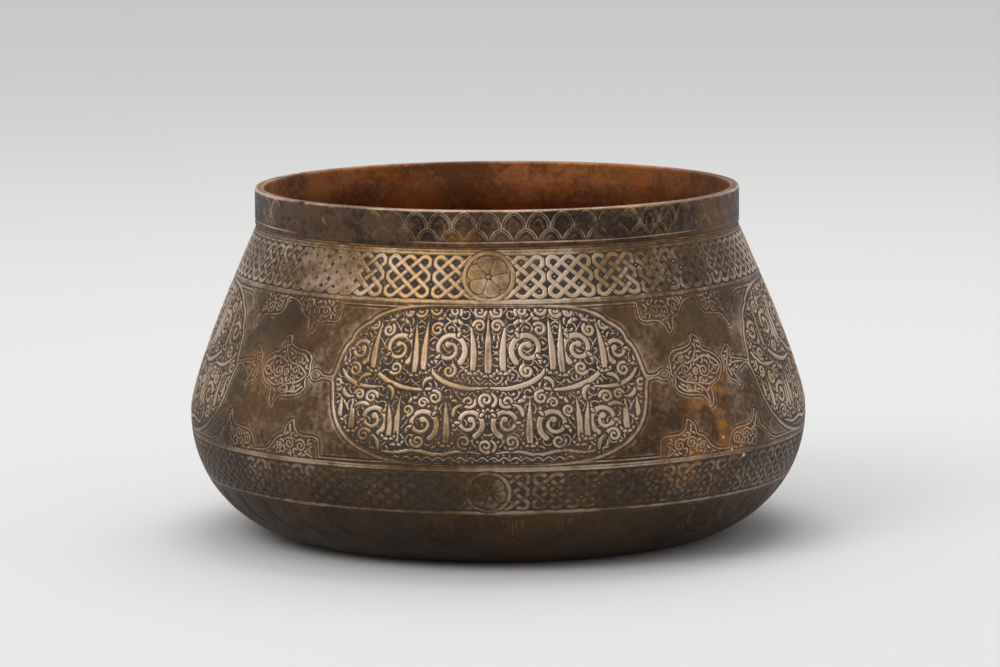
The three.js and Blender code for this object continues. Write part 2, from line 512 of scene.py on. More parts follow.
@dataclass
class Ground:
    """A grid on the wall, in millimetres, on which strokes of metal are left standing.

    inside holds how far each point lies within the nearest stroke's edge, and is negative between strokes,
    down to a reach.
    """

    across: np.ndarray
    down: np.ndarray
    reach: float = 2.8

    def __post_init__(self) -> None:
        """Starts with no stroke on the ground."""
        self.inside = np.full((len(self.down), len(self.across)), -self.reach)

    def window(self, path: np.ndarray, margin: float) -> tuple:
        """Slices of the grid that hold a path with a margin round it.

        Args:
            path: Points of the path.
            margin: Width of the margin.

        Returns:
            The slices of its rows and columns.
        """
        low, high = path.min(0) - margin, path.max(0) + margin
        columns = slice(*np.searchsorted(self.across, [low[0], high[0]]))
        return slice(*np.searchsorted(self.down, [low[1], high[1]])), columns

    def stroke(self, path: np.ndarray, half_width: np.ndarray | float, gap: float = 0.0) -> None:
        """Leaves a stroke standing: every point nearer to the path than its half width, which may taper.

        Args:
            path: Points of the stroke's middle line.
            half_width: Half of its width, at each point of the path or all along.
            gap: Width of the ground cut round it where it passes over other strokes.
        """
        half = np.broadcast_to(np.asarray(half_width, float), (len(path),))
        rows, columns = self.window(path, float(half.max()) + gap + self.reach)
        across, down = self.across[columns], self.down[rows]
        if not len(across) or not len(down):
            return
        start, end = path[:-1, :, None, None], path[1:, :, None, None]
        x, y = across[None, None, :], down[None, :, None]
        run_x, run_y = end[:, 0] - start[:, 0], end[:, 1] - start[:, 1]
        length = np.maximum(run_x**2 + run_y**2, 1e-9)
        share = np.clip(((x - start[:, 0]) * run_x + (y - start[:, 1]) * run_y) / length, 0, 1)
        away = np.hypot(x - start[:, 0] - share * run_x, y - start[:, 1] - share * run_y)
        width = half[:-1, None, None] + (half[1:] - half[:-1])[:, None, None] * share
        inside = (width - away).max(0)
        view = self.inside[rows, columns]
        if gap:
            view = np.minimum(view, -inside - gap)
        self.inside[rows, columns] = np.maximum(view, inside)

    def emptiest(self, thinning: int, allowed: np.ndarray, jitter: np.ndarray) -> tuple:
        """The point that lies furthest from any stroke, among those allowed.

        Args:
            thinning: Every how many rows and columns are looked at.
            allowed: Points of the thinned grid that count.
            jitter: Small numbers that settle ties.

        Returns:
            Its place across and down, and its distance from the nearest stroke.
        """
        room = np.where(allowed, self.inside[::thinning, ::thinning] + jitter, 9.0)
        row, column = np.array(np.unravel_index(np.argmin(room), room.shape)) * thinning
        return np.array([self.across[column], self.down[row]]), -float(self.inside[row, column])


def region_depth(outline: np.ndarray, x: np.ndarray, y: np.ndarray) -> np.ndarray:
    """How far points lie inside a closed outline: the distance to it, positive within by the even-odd rule.

    Args:
        outline: Corners of the closed outline.
        x: Places across.
        y: Places down, of the same shape.

    Returns:
        The signed distances.
    """
    away = np.full(x.shape, np.inf)
    crossings = np.zeros(x.shape, int)
    for (ax, ay), (bx, by) in zip(outline, np.roll(outline, -1, axis=0)):
        length = max((bx - ax) ** 2 + (by - ay) ** 2, 1e-9)
        share = np.clip(((x - ax) * (bx - ax) + (y - ay) * (by - ay)) / length, 0, 1)
        away = np.minimum(away, np.hypot(x - ax - share * (bx - ax), y - ay - share * (by - ay)))
        spans = (ay > y) != (by > y)
        rise = by - ay if by != ay else 1e-9
        crossings += spans & (x < (bx - ax) * (y - ay) / rise + ax)
    return np.where(crossings % 2 == 1, away, -away)


def groove(away: np.ndarray, width: float, depth: float) -> np.ndarray:
    """The hollow of an engraved line: minus its depth times a bell curve of the distance from its middle."""
    return -depth * np.exp(-((2.0 * away / width) ** 2))


def repeated(angle: np.ndarray, count: int, radius: float, shift: float = 0.0) -> np.ndarray:
    """Millimetres along the wall to the nearest of several evenly spaced middles."""
    step = TURN / count
    return ((angle / step - shift + 0.5) % 1.0 - 0.5) * step * radius


@dataclass(frozen=True)
class Knotwork:
    """Straps that plait over and under each other on a slanted lattice, closed into knots.

    With x and y counted in half steps, holes lie where x + y is even and straps cross where it is odd. Along
    the band's edges, and at the breaks between knots, the crossing opens into two quarter rounds.
    """

    first_row: float
    row_step: float
    half_columns: int
    radius: float
    strap: float = 0.82
    rows: int = 5
    group: int = 6
    gap: float = 0.2
    cut: tuple = (0.09, 0.16, 0.22)
    dip: tuple = (0.05, 0.0, 0.9)
    boss: float = 0.42
    hole_numbers: tuple = (7.31, 3.17)
    least_sine: float = 0.2
    quarters: int = 4

    def sunk(self, beside: np.ndarray) -> np.ndarray:
        """How far the lower strap sinks beside the upper one: a cut line and a shallow dip, both bells."""
        shapes = (self.cut, self.dip)
        return sum(depth * np.exp(-(((beside - middle) / width) ** 2)) for depth, middle, width in shapes)

    def straps(self, angle: np.ndarray, distance: np.ndarray) -> tuple:
        """How far points lie inside a strap, how far straps sink at crossings, and the holes' bosses.

        A hole has a boss where the sine of its number is over a least value.

        Args:
            angle: Angle round the bowl.
            distance: Distance down the wall.

        Returns:
            Three arrays in millimetres; a boss is positive inside.
        """
        step = TURN / self.half_columns
        x, y = angle / step, (distance - self.first_row) / self.row_step
        a, b = (x + y) / 2, (x - y) / 2
        cell_a, cell_b = np.floor(a), np.floor(b)
        u, v = a - cell_a - 0.5, b - cell_b - 0.5
        column, row = cell_a + cell_b + 1, cell_a - cell_b
        outermost = (row < 0) | (row >= self.rows)
        unit = np.hypot(step * self.radius, self.row_step)
        half, gap = self.strap / unit, self.gap / unit
        first_over = column % 2 == 0
        across = np.where(first_over, np.abs(v), np.abs(u))
        over, under = half - across, half - np.where(first_over, np.abs(u), np.abs(v))
        sides = np.minimum(np.hypot(u + 0.5, v + 0.5), np.hypot(u - 0.5, v - 0.5))
        split = np.abs(u + v) * step * self.radius / unit - gap
        broken = np.minimum(half - np.abs(sides - 0.5), split)
        per_quarter = self.half_columns // self.quarters
        breaks = ((column % per_quarter) - per_quarter // 2) % self.group == 0
        inside = np.where(breaks, broken, np.maximum(over, under))
        upper = half - np.abs(np.hypot(u - 0.5, v + 0.5) - 0.5)
        lower = half - np.abs(np.hypot(u + 0.5, v - 0.5) - 0.5)
        inside = np.where(row == -1, upper, np.where(row == self.rows, lower, inside))
        inside = np.where((row < -1) | (row > self.rows), -1.0, inside)
        sink = np.where((over < 0) & ~breaks & ~outermost, self.sunk((across - half) * unit), 0.0)
        corner = np.hypot(np.abs(u) - 0.5, np.abs(v) - 0.5) * unit
        number = np.round(a) * self.hole_numbers[0] + np.round(b) * self.hole_numbers[1]
        boss = np.where((np.sin(number) > self.least_sine) & ~outermost, self.boss - corner, -1.0)
        return inside * unit, sink, boss


@dataclass(frozen=True)
class Roundel:
    """A raised disc with a plain ring and a flower of six round petals, once above each cartouche.

    Each line is a pair of its width and depth in millimetres.
    """

    middle: float
    radius: float
    outer: float = 9.7
    inner: float = 8.0
    petals: int = 6
    petal_reach: float = 4.55
    petal_radius: float = 3.3
    tilt: float = 0.22
    boss: float = 0.85
    face: float = -0.12
    sunk: float = -0.17
    petal_rise: float = 0.05
    edge_line: tuple = (0.38, 0.17)
    echo_line: tuple = (0.3, 0.07)
    fold_line: tuple = (0.36, 0.13)
    boss_line: tuple = (0.4, 0.18)
    ring_line: tuple = (0.44, 0.15)
    inner_rim_line: tuple = (0.38, 0.1)
    rim_line: tuple = (0.46, 0.24)
    echo: float = 0.8
    tone: float = 0.54
    count: int = 4

    def carve(self, angle: np.ndarray, distance: np.ndarray, height: np.ndarray, base: np.ndarray) -> tuple:
        """Lays the roundels over a band.

        Each petal is a disc with a double engraved edge, cut off where it meets its neighbour. A small
        boss stands in the middle.

        Args:
            angle: Angle round the bowl.
            distance: Distance down the wall.
            height: Relief of the band so far.
            base: Brightness of the band so far.

        Returns:
            The new relief and the new brightness.
        """
        x, y = repeated(angle, self.count, self.radius), distance - self.middle
        away = np.hypot(x, y)
        turn = np.arctan2(x, -y) + self.tilt
        fold = ((turn / TURN * self.petals + 0.5) % 1.0 - 0.5) * TURN / self.petals
        petal = np.hypot(away * np.sin(fold), away * np.cos(fold) - self.petal_reach) - self.petal_radius
        side = away * np.sin(np.pi / self.petals - np.abs(fold))
        standing = ease(-0.2, 0.2, -petal)
        lines = groove(petal, *self.edge_line) + groove(petal + self.echo, *self.echo_line)
        lines += groove(side, *self.fold_line) * standing
        lines = lines * (away > self.boss + 0.4) + groove(away - self.boss - 0.15, *self.boss_line)
        flower = np.where(away < self.boss, self.face, self.sunk + self.petal_rise * standing) + lines
        disc = np.where(away < self.inner, flower, self.face) + groove(away - self.inner, *self.ring_line)
        disc = disc + groove(away - self.outer + self.echo, *self.inner_rim_line)
        inside = away < self.outer
        height = np.where(inside, np.maximum(disc, -0.5), height) + groove(away - self.outer, *self.rim_line)
        tone = self.tone + np.where(away < self.inner, 0.06 * standing, 0.08)
        return height, np.where(inside, tone, base)


@dataclass(frozen=True)
class Arches:
    """Rows of arches, each drawn with a double line and a faint third one; later rows cover earlier ones.

    A row is the distance down at which its heads touch and its shift along the wall, as a share of a pitch.
    """

    count: int
    radius: float
    head: float
    end: float
    rows: tuple
    inset: float = 0.75
    width: float = 0.46
    depth: float = 0.24
    pointed: float = 0.0
    thinner: float = 0.8
    third_inset: float = 3.1
    third_depth: float = 0.5

    def carve(self, angle: np.ndarray, distance: np.ndarray) -> np.ndarray:
        """Relief of the rows: lines at even distances from each arch's axis, curved above, straight below.

        Each half of a head is an arc about a point beyond the axis, which makes the head pointed.

        Args:
            angle: Angle round the bowl.
            distance: Distance down the wall.

        Returns:
            Offsets in millimetres, negative in the lines.
        """
        lines = 0 * (angle + distance)
        thin = self.width * self.thinner
        rise = np.sqrt((self.head + self.pointed) ** 2 - self.pointed**2)
        for top, shift in self.rows:
            x = np.abs(repeated(angle, self.count, self.radius, shift)) + self.pointed
            away = np.hypot(x, np.minimum(distance - top - rise, 0.0)) - self.pointed - self.head
            drawn = groove(away, self.width, self.depth)
            drawn += groove(away + self.inset, thin, self.depth * self.thinner)
            drawn += groove(away + self.third_inset * self.inset, thin, self.depth * self.third_depth)
            lines = np.where(away < 0.3, drawn, lines)
        return lines * (1 - ease(self.end - 0.5, self.end, distance))


@dataclass
class Arabesque:
    """Split leaves, lancets and volutes on a running vine, laid out in two tiers and mirrored.

    Places are millimetres across from the middle line and down the wall. A garland is its places and half
    width; a volute is its eye, reach, first angle, turns and half width; a lancet is its place across, foot,
    tip, lean and half width; a leaf is its root, heading, length, side and half width.
    """

    ground: Ground
    seed: int
    thinning: int = 2
    vine_rows: tuple = (10, 23.6, 5.75)
    zigzag: tuple = (46, 77.0, 1.3, 3.7)
    garlands: tuple = (
        (((0, 50.6), (7, 50.9), (14, 49.2), (19, 46.2), (20.4, 43.6)), 0.95),
        (((17, 51.0), (27, 51.4), (35, 49.4), (40, 46.4), (41.2, 43.6)), 0.95),
        (((38, 51.0), (46, 51.0), (52, 48.6), (55.6, 44.4)), 0.85),
        (((0, 74.6), (9, 73.4), (17, 74.8), (25, 73.4), (33, 74.4), (41, 72.8)), 0.75),
    )
    volutes: tuple = (
        (14.4, 36.6, 6.4, 2.3, 1.45, 1.08), (33.4, 36.8, 6.2, 2.2, 1.45, 1.05),
        (48.6, 38.2, 4.8, 2.0, 1.3, 0.95), (6.4, 63.2, 5.2, 2.0, 1.35, 0.98),
        (22.6, 63.8, 5.8, 2.1, 1.4, 1.02), (40.4, 62.8, 5.4, 2.1, 1.35, 0.98),
    )
    lancets: tuple = (
        (0.0, 47.5, 23.4, 0.0, 1.25), (5.6, 46.5, 24.6, 1.3, 1.1), (23.4, 46.5, 23.8, -0.6, 1.15),
        (26.9, 47.5, 25.0, 0.9, 1.1), (42.6, 46.5, 25.8, -1.2, 1.05), (55.0, 44.5, 32.0, -1.8, 0.95),
        (14.2, 72.6, 53.6, 0.5, 1.08), (31.4, 72.6, 53.4, -0.5, 1.1), (34.2, 70.6, 55.0, 1.0, 0.95),
        (48.4, 68.6, 54.2, 0.6, 1.0), (53.2, 64.6, 54.6, 0.2, 0.85),
    )
    leaves: tuple = (
        (9.6, 27.2, -0.4, 4.2, 1, 0.85), (19.4, 26.2, -2.6, 4.2, 1, 0.85), (30.6, 27.4, -0.5, 4.2, 1, 0.85),
        (38.4, 27.2, -2.5, 4.2, 1, 0.85), (46.8, 30.4, -0.9, 3.8, -1, 0.8), (10.6, 56.0, -0.6, 3.8, -1, 0.8),
        (28.0, 56.2, -2.4, 3.8, -1, 0.8), (45.0, 71.0, 0.6, 3.8, -1, 0.8),
    )
    ribs: list = field(default_factory=list)

    def __post_init__(self) -> None:
        """Seeds the draws of the leaves that fill the empty places."""
        self.random = np.random.default_rng(self.seed)

    def mirrored(self, path: np.ndarray, half: np.ndarray | float, gap: float = 0.0) -> None:
        """Leaves a stroke and its mirror image standing."""
        self.ground.stroke(path, half, gap)
        self.ground.stroke(path * [-1, 1], half, gap)

    @staticmethod
    def swelling(count: int, widest: float, at: float = 0.4, tip: float = 0.08) -> np.ndarray:
        """Half widths of a leaf: a sine of a power of its length, so that it is widest at a given share."""
        share = np.linspace(0, 1, count)
        return tip + (widest - tip) * np.sin(np.pi * share ** (np.log(0.5) / np.log(at))) ** 0.85

    def lancet(self, x: float, foot: float, tip: float, lean: float, widest: float) -> None:
        """A tall slim leaf with a pointed tip, a narrow stalk and a leaflet on each side of it.

        Args:
            x: Its place across.
            foot: Level of its foot.
            tip: Level of its tip.
            lean: How far its tip leans away from the middle line.
            widest: Half width by which its swelling is scaled.
        """
        path = through(((x, foot), (x - 0.25 * lean, foot * 0.6 + tip * 0.4), (x + lean, tip)), 30)
        share = np.linspace(0, 1, len(path))
        swell = 0.26 + 0.86 * np.sin(np.pi * share**0.72)
        self.mirrored(path, widest * swell * np.clip((1 - share) / 0.3, 0.04, 1) ** 0.6, 0.45)
        self.ribs += [path[3:22], path[3:22] * [-1, 1]]
        for side in (-1, 1):
            self.split_leaf(np.array([x, foot - 0.6]), -np.pi / 2 + side * 1.15, 3.4, -side, 0.72)

    def volute(self, x: float, y: float, reach: float, start: float, turns: float, widest: float) -> None:
        """A spiral stem that thins towards a round bud, with split leaves on its outside.

        Args:
            x: Place of its eye, across.
            y: Place of its eye, down.
            reach: Radius at which it starts.
            start: Angle at which it starts, from straight right, turning down.
            turns: Turns that it makes.
            widest: Half width where it starts.
        """
        share = np.linspace(0, 1, 64)
        angle = start + TURN * turns * share
        path = np.array([x, y]) + spiral(reach * (1 - 0.74 * share**0.9), angle)
        self.mirrored(path, widest * (1 - 0.42 * share), 0.45)
        self.mirrored(path[-2:], 1.15)
        for place in (0.2, 0.5):
            index = int(place * 63)
            self.split_leaf(path[index], angle[index] + 0.55, reach * 0.62, 1, widest * 0.8)

    def split_leaf(self, root: np.ndarray, heading: float, length: float, side: int, widest: float) -> None:
        """A leaf parted in two lobes that curl away from each other, the longer one ahead.

        Args:
            root: Where it springs from.
            heading: Direction in which it starts, from straight right, turning down.
            length: Length of the longer lobe.
            side: 1 or -1, for the side to which the longer lobe curls.
            widest: Its largest half width.
        """
        for reach, bend, width in ((1.0, 0.75, 1.0), (0.62, -1.1, 0.8)):
            course = heading + side * bend * (np.linspace(0, 1, 16) - 0.25) * 1.5
            path = root + np.cumsum(spiral(length * reach / 15, course), axis=0)
            self.mirrored(path, self.swelling(16, widest * width, 0.35), 0.3)

    def vine(self, y: float, wave: float, swing: float, side: int) -> None:
        """A fine running vine: a sine wave across the ground with a coil and a bud in each bend.

        Args:
            y: Its middle level.
            wave: Length of a wave.
            swing: Height of a wave over the middle level.
            side: 1 or -1, for the side of the first bend.
        """
        across = np.linspace(0, self.ground.across[-1], 160)
        self.mirrored(np.column_stack([across, y + swing * side * np.sin(TURN * across / wave)]), 0.33)
        share = np.linspace(0, 1, 36)
        for k in range(int(self.ground.across[-1] / wave * 2)):
            up = side * (1 if k % 2 == 0 else -1)
            angle = up * np.pi / 2 - up * TURN * 1.15 * share
            coil = np.array([wave * (0.25 + 0.5 * k), y]) + spiral(swing * 1.05 * (1 - 0.72 * share), angle)
            self.mirrored(coil, 0.32 * (1 - 0.2 * share))
            self.mirrored(coil[-2:], 0.55)

    def drop(self, middle: np.ndarray, clear: float, room: tuple, curl: float) -> tuple:
        """One curved drop, or a curl where there is room for it, by three draws: heading, bend and its side.

        Args:
            middle: Its place.
            clear: Its distance from the nearest stroke.
            room: Its length as a share of the clearance and at most, and its half width likewise.
            curl: Clearance from which it is a curl, or 0 for never.

        Returns:
            Its path and its half widths.
        """
        heading = self.random.uniform(0, TURN)
        bend = self.random.uniform(0.6, 1.5) * self.random.choice([-1, 1])
        if curl and clear > curl:
            share = np.linspace(0, 1, 30)
            radius = (min(clear, 3.2) - 0.35) * (1 - 0.78 * share)
            path = middle + spiral(radius, heading + np.sign(bend) * TURN * 1.3 * share)
            return path, min(0.26 * clear, 0.66) * (1 - 0.3 * share)
        length, longest, width, widest = room
        course = heading + bend * np.linspace(-0.5, 0.5, 12) * 1.8
        path = np.cumsum(spiral(min(clear * length, longest) / 11, course), axis=0)
        return path + middle - path.mean(0), self.swelling(12, min(clear * width, widest), 0.34)

    def scatter(
        self, allowed: np.ndarray, enough: float, most: int, room: tuple, gap: float, mirror: bool,
        curl: float = 0.0,
    ) -> None:
        """Fills the emptiest places one by one with curved drops, or with curls where there is more room.

        Args:
            allowed: Points of the thinned grid that a drop's middle may take.
            enough: Clearance at which it stops, in millimetres.
            most: Most drops.
            room: How long and wide a drop is, as drop() takes it.
            gap: Ground cut round each drop.
            mirror: Whether each drop has its mirror image.
            curl: Clearance from which a place gets a curl, or 0 for none.
        """
        jitter = self.random.uniform(-0.25, 0.25, allowed.shape)
        draw = self.mirrored if mirror else self.ground.stroke
        for _ in range(most):
            middle, clear = self.ground.emptiest(self.thinning, allowed, jitter)
            if clear < enough:
                return
            draw(*self.drop(middle, clear, room, curl), gap)

    def compose_fine(self) -> None:
        """The fine vines that lie deepest."""
        count, first, step = self.vine_rows
        for k in range(count):
            self.vine(first + step * k, 11.4, 2.55, 1 if k % 2 == 0 else -1)

    def compose_bold(self) -> None:
        """The bold forms of both tiers: garlands, a zigzag of sine bows, volutes, lancets and leaves."""
        for points, widest in self.garlands:
            self.mirrored(through(points, 48), self.swelling(48, widest, 0.5, 0.25), 0.45)
        end, level, swing, wave = self.zigzag
        across = np.linspace(0, end, 240)
        bows = level - swing * np.abs(np.sin(np.pi * across / wave))
        self.mirrored(np.column_stack([across, bows]), 0.3, 0.4)
        for volute in self.volutes:
            self.volute(*volute)
        for lancet in self.lancets:
            self.lancet(*lancet)
        for x, y, *leaf in self.leaves:
            self.split_leaf(np.array([x, y]), *leaf)


@dataclass(frozen=True)
class Rings:
    """Plain strips, fillets and engraved lines that run all the way round the wall."""

    levels: Levels
    rest: float = -0.07
    line: float = 0.5
    depth: float = 0.3

    @cached_property
    def lines(self) -> list:
        """The engraved lines round the wall.

        Returns:
            A pair for each line: its distance down the wall and its share of the full depth.
        """
        at, foot = self.levels, self.levels.under_top + self.levels.lappets
        shoulder = [(0.9, 0.5), (at.plain_strip - 0.3, 0.7), (at.shoulder_end + 0.2, 1.0)]
        belly = [(at.frieze_top, 1.0), (at.frieze_end, 1.0), (at.frieze_end + 0.9, 0.6)]
        lower = [(at.lower_top - 0.2, 1.0), (at.lower_end + 0.2, 1.0), (at.lower_end + 1.6, 0.7)]
        return shoulder + belly + lower + [(at.under_top - 0.2, 1.0), (foot + 0.6, 0.8), (foot + 1.9, 0.6)]

    def height(self, angle: np.ndarray, distance: np.ndarray) -> np.ndarray:
        """Offsets in millimetres of the plain wall with its lines, which waver and fade here and there.

        Args:
            angle: Angle round the bowl.
            distance: Distance down the wall.

        Returns:
            Offsets in millimetres.
        """
        relief = self.rest + 0 * (angle + distance)
        for index, (place, share) in enumerate(self.lines):
            waver = 0.1 * np.sin(5 * angle + 2.1 * index) + 0.05 * np.sin(23 * angle + index)
            fading = 0.75 + 0.25 * np.sin(3 * angle + 1.3 * index) * np.sin(11 * angle + 0.7 * index)
            relief = relief + groove(distance - place - waver, self.line, self.depth * share) * fading
        return relief

    @staticmethod
    def brightness(angle: np.ndarray) -> np.ndarray:
        """Brightness of the plain strips: rubbed brighter than the plain wall, with a painted highlight as a
        wave round the bowl, brightest at the front and back.
        """
        # painted highlight: the cosine wave makes the strips brightest at the front and back
        return 0.54 + 0.09 * np.cos(2 * angle + 0.3)


@dataclass(frozen=True)
class Wear:
    """Where handling has worn the ornament down, from 0 where it is crisp to 1 where it is nearly gone.

    A place is its angle and spread in degrees, its strength and its distance down the wall.
    """

    crisp: float = 0.12
    places: tuple = (
        (-34, 7.5, 1.0, 10), (-43, 9, 1.0, 10), (39, 8, 0.84, 9), (49, 6, 0.6, 12), (27, 2.5, 0.4, 8),
        (66, 9, 0.4, 50), (12, 11, 0.6, 68), (-26, 7, 0.5, 74), (0, 7, 0.55, 34),
        (128, 14, 0.8, 8), (212, 18, 0.7, 12), (160, 10, 0.5, 50), (-104, 9, 0.5, 40),
    )
    reach_down: float = 16.0
    swing: float = 0.09

    def amount(self, angle: np.ndarray, distance: np.ndarray) -> np.ndarray:
        """Wear from 0 to 1: a few bell-shaped spots over a wave that stands for the rest.

        Args:
            angle: Angle round the bowl.
            distance: Distance down the wall.

        Returns:
            The wear.
        """
        wave = np.sin(4 * angle + 0.11 * distance) * np.sin(9 * angle - 0.07 * distance + 1)
        worn = self.crisp + self.swing * wave
        for middle, spread, strength, level in self.places:
            away = (np.degrees(angle) - middle + 180) % 360 - 180
            spot = np.exp(-((away / spread) ** 2) - ((distance - level) / self.reach_down) ** 2)
            worn = np.maximum(worn, strength * spot)
        return np.clip(worn, 0, 1)


@dataclass(frozen=True)
class KnotBand:
    """A band of knotwork with four roundels, whose straps stand above a sunk ground.

    proud, floor and flat are the brightness of crisp straps, of the ground and of straps worn away.
    """

    knots: Knotwork
    roundels: Roundel
    rings: Rings
    wear: Wear
    top: float
    bottom: float
    ground: float = -0.6
    crown: float = -0.09
    slope: float = 0.22
    boss_top: float = -0.24
    proud: float = 0.8
    floor: float = 0.12
    flat: float = 0.6
    tarnish: Wear = Wear(0.0, ((-67, 20, 0.9, 9), (60, 22, 0.9, 9), (158, 24, 0.6, 9), (-150, 16, 0.5, 9)))

    def carve(self, angle: np.ndarray, distance: np.ndarray) -> tuple:
        """Relief and brightness of the band and the plain strips beside it.

        The straps rise from the ground by a smooth step over their edge. Wear draws both together.

        Args:
            angle: Angle round the bowl.
            distance: Distance down the wall.

        Returns:
            Offsets in millimetres and brightness from 0 to 1.
        """
        inside, sink, boss = self.knots.straps(angle, distance)
        worn = self.wear.amount(angle, distance)
        gone, dark = ease(0.5, 0.95, worn), self.tarnish.amount(angle, distance)
        rise = ease(-self.slope, self.slope, inside + 0.2 * worn + 0.55 * gone)
        crown = self.crown - sink * (1 - gone) - 0.1 * worn
        ground = self.ground + (0.25 - self.ground) * 0.4 * worn
        dot = ease(-0.12, 0.1, boss) * (1 - rise)
        height = np.maximum(ground + (crown - ground) * rise, ground + (self.boss_top - ground) * dot)
        proud = self.proud - 0.26 * worn + (self.flat - self.proud + 0.26) * gone - 1.2 * sink * (1 - gone)
        proud = proud - 0.34 * dark * (1 - gone)
        floor = self.floor + 0.15 * worn
        base = floor + (proud - floor) * rise + (0.3 + 0.35 * dark) * dot
        share = ease(-0.2, 0.2, np.minimum(distance - self.top, self.bottom - distance))
        plain, strip = self.rings.height(angle, distance), self.rings.brightness(angle)
        height, base = plain + (height - plain) * share, strip + (base - strip) * share
        height, base = self.roundels.carve(angle, distance, height, base)
        return height + undulation(angle, distance), base


@dataclass(frozen=True)
class Frieze:
    """Cartouches, palmettes and hanging leaves between the fillets.

    They are drawn as millimetres across and down the wall. Across runs from the middle of the front or back
    cartouche to the middle of a side one, at a fixed radius, and the drawing is mirrored at both middles.
    A cusp is its distance down, its bite and its reach; a knob and a coil end with their radius. A line is
    its width and depth. Drops are the clearance at which they stop, their most, their room and their gap.
    """

    levels: Levels
    rings: Rings
    wear: Wear
    reference: float = 108.0
    half_angle: float = degrees(30.7)
    end_power: float = 2.6
    side_power: float = 3.6
    overrun: float = 1.0
    point: float = 1.9
    point_reach: float = 3.5
    cusps: tuple = ((26.8, 1.7, 1.7), (34.2, 1.2, 1.9))
    top_line: float = 21.9
    bottom_line: float = 77.6
    border: float = 0.9
    broader: float = 0.75
    crown: float = -0.08
    low_crown: float = -0.17
    ground: float = -0.6
    floor: float = 0.18
    mirror_level: float = 49.75
    neck: float = 0.9
    necks: tuple = (((59.0, 49.2), (65.0, 48.8)), ((108.0, 47.8), (111.0, 48.4)))
    knob: tuple = (66.2, 48.7, 2.7)
    blend: float = 1.6
    outer_line: tuple = (0.5, 0.34)
    inner_line: tuple = (0.46, 0.28)
    rib_half: float = 0.14
    coil_half: float = 0.28
    bold_drops: tuple = (2.0, 40, (3.2, 7.5, 0.42, 0.8), 0.4)
    fine_drops: tuple = (0.62, 420, (2.8, 3.2, 0.6, 0.46), 0.12)
    leaf_drops: tuple = (0.5, 420, (2.6, 2.6, 0.5, 0.42), 0.1)
    curl_room: float = 2.2
    drop_margin: float = 2.3
    leaf_margin: float = 0.75
    first_seed: int = 11
    leaf_seed: int = 5
    lit: float = 0.72
    low_lit: float = 0.32
    leaf_lit: float = 0.56
    leaf_floor: float = 0.33
    leaf_sunk: float = 0.17
    palmettes: tuple = (
        (
            (69.2, 45), (69.2, 42.5), (72, 40), (77.1, 39.2), (80.9, 37.8), (82, 34.8), (85.2, 35.6),
            (86.9, 38.3), (86.5, 40.6), (90.3, 42), (93.7, 44.5), (94.8, 47), (93.3, 50.5), (90.7, 53.5),
            (86.9, 55.3), (86.7, 58.6), (85.8, 61.5), (83.3, 62.8), (83.1, 60.4), (80.7, 58), (75.2, 57.4),
            (71.3, 56), (69.4, 53.4), (70.1, 51), (68.8, 48.7),
        ),
        (
            (95.2, 46.5), (95.4, 43.8), (97.3, 41.8), (99.7, 40), (102, 41.3), (102.2, 43.6), (100.8, 45),
            (105, 46), (109.1, 46.8), (109.1, 48.6), (105.4, 50), (102.2, 52), (103.3, 54.6), (101.8, 57),
            (100.1, 55), (97.1, 53.6), (95.6, 51), (96.3, 48.8),
        ),
    )
    hanging_leaves: tuple = (
        (
            (60, 18), (60, 21), (60, 24), (60.1, 26.6), (60.9, 28.3), (63, 29), (66, 29), (68.8, 29.4),
            (70.6, 31), (71.4, 32.8), (72, 34.4), (74.2, 33.4), (75.8, 31.2), (76.2, 28.8), (78.4, 27.9),
            (80.6, 26.1), (82.4, 24), (85, 22.5), (88, 22), (90.4, 21.8), (90.5, 20), (90.5, 18), (80, 17),
            (70, 17),
        ),
        (
            (90.4, 18), (90.4, 21.8), (90.8, 24.6), (91.9, 27.2), (94.4, 28.7), (98, 29), (101.6, 29.4),
            (104, 30.6), (105.2, 32.6), (105.9, 34.4), (107.9, 33.2), (109, 30.8), (109.2, 28.2),
            (111.6, 26.9), (113.8, 25), (116, 23.3), (119.4, 22.2), (123, 21.7), (126.3, 21.4), (126.5, 18),
            (110, 17), (100, 17),
        ),
    )
    stems: tuple = (
        ((70.8, 48.6), (74.5, 45.9), (79.4, 44.8), (82.4, 41.4), (83.6, 37.2)),
        ((70.8, 49.4), (74.5, 52.0), (79.6, 53.2), (83.2, 56.2), (84.4, 60.8)),
        ((80.6, 45.0), (86.0, 43.4), (90.6, 45.0), (92.8, 47.6), (90.4, 50.4), (87.0, 49.4), (88.0, 46.8)),
        ((80.8, 52.8), (85.4, 53.8), (89.6, 52.2)),
        ((71.0, 44.0), (73.6, 41.8), (77.6, 41.2), (81.2, 39.8)),
        ((71.4, 53.4), (74.2, 55.4), (78.0, 55.8), (81.0, 56.8)),
        ((98.4, 52.0), (97.4, 48.4), (98.6, 45.4), (100.6, 42.2)),
        ((98.4, 48.4), (101.6, 47.4), (107.0, 47.8)),
        ((98.8, 50.0), (100.6, 52.4), (101.8, 55.4)),
    )
    coils: tuple = (
        (76.0, 47.8, 2.2, 1), (76.8, 51.2, 1.7, -1), (84.4, 48.6, 2.4, 1), (75.0, 43.8, 1.5, -1),
        (75.6, 54.0, 1.2, 1), (80.4, 48.9, 1.5, -1), (88.6, 43.9, 0.9, 1),
    )
    leaf_coils: tuple = (
        (63.2, 24.0, 2.3), (68.2, 24.9, 2.4), (73.2, 25.4, 2.2), (78.0, 24.0, 1.6),
        (94.9, 24.6, 2.3), (99.9, 25.6, 2.4), (104.9, 26.0, 2.1), (110.2, 24.2, 1.7),
    )
    leaf_tips: tuple = ((73.6, 32.4), (106.8, 32.6))

    @property
    def far(self) -> float:
        """Place across of the next cartouche's middle."""
        return QUARTER * self.reference

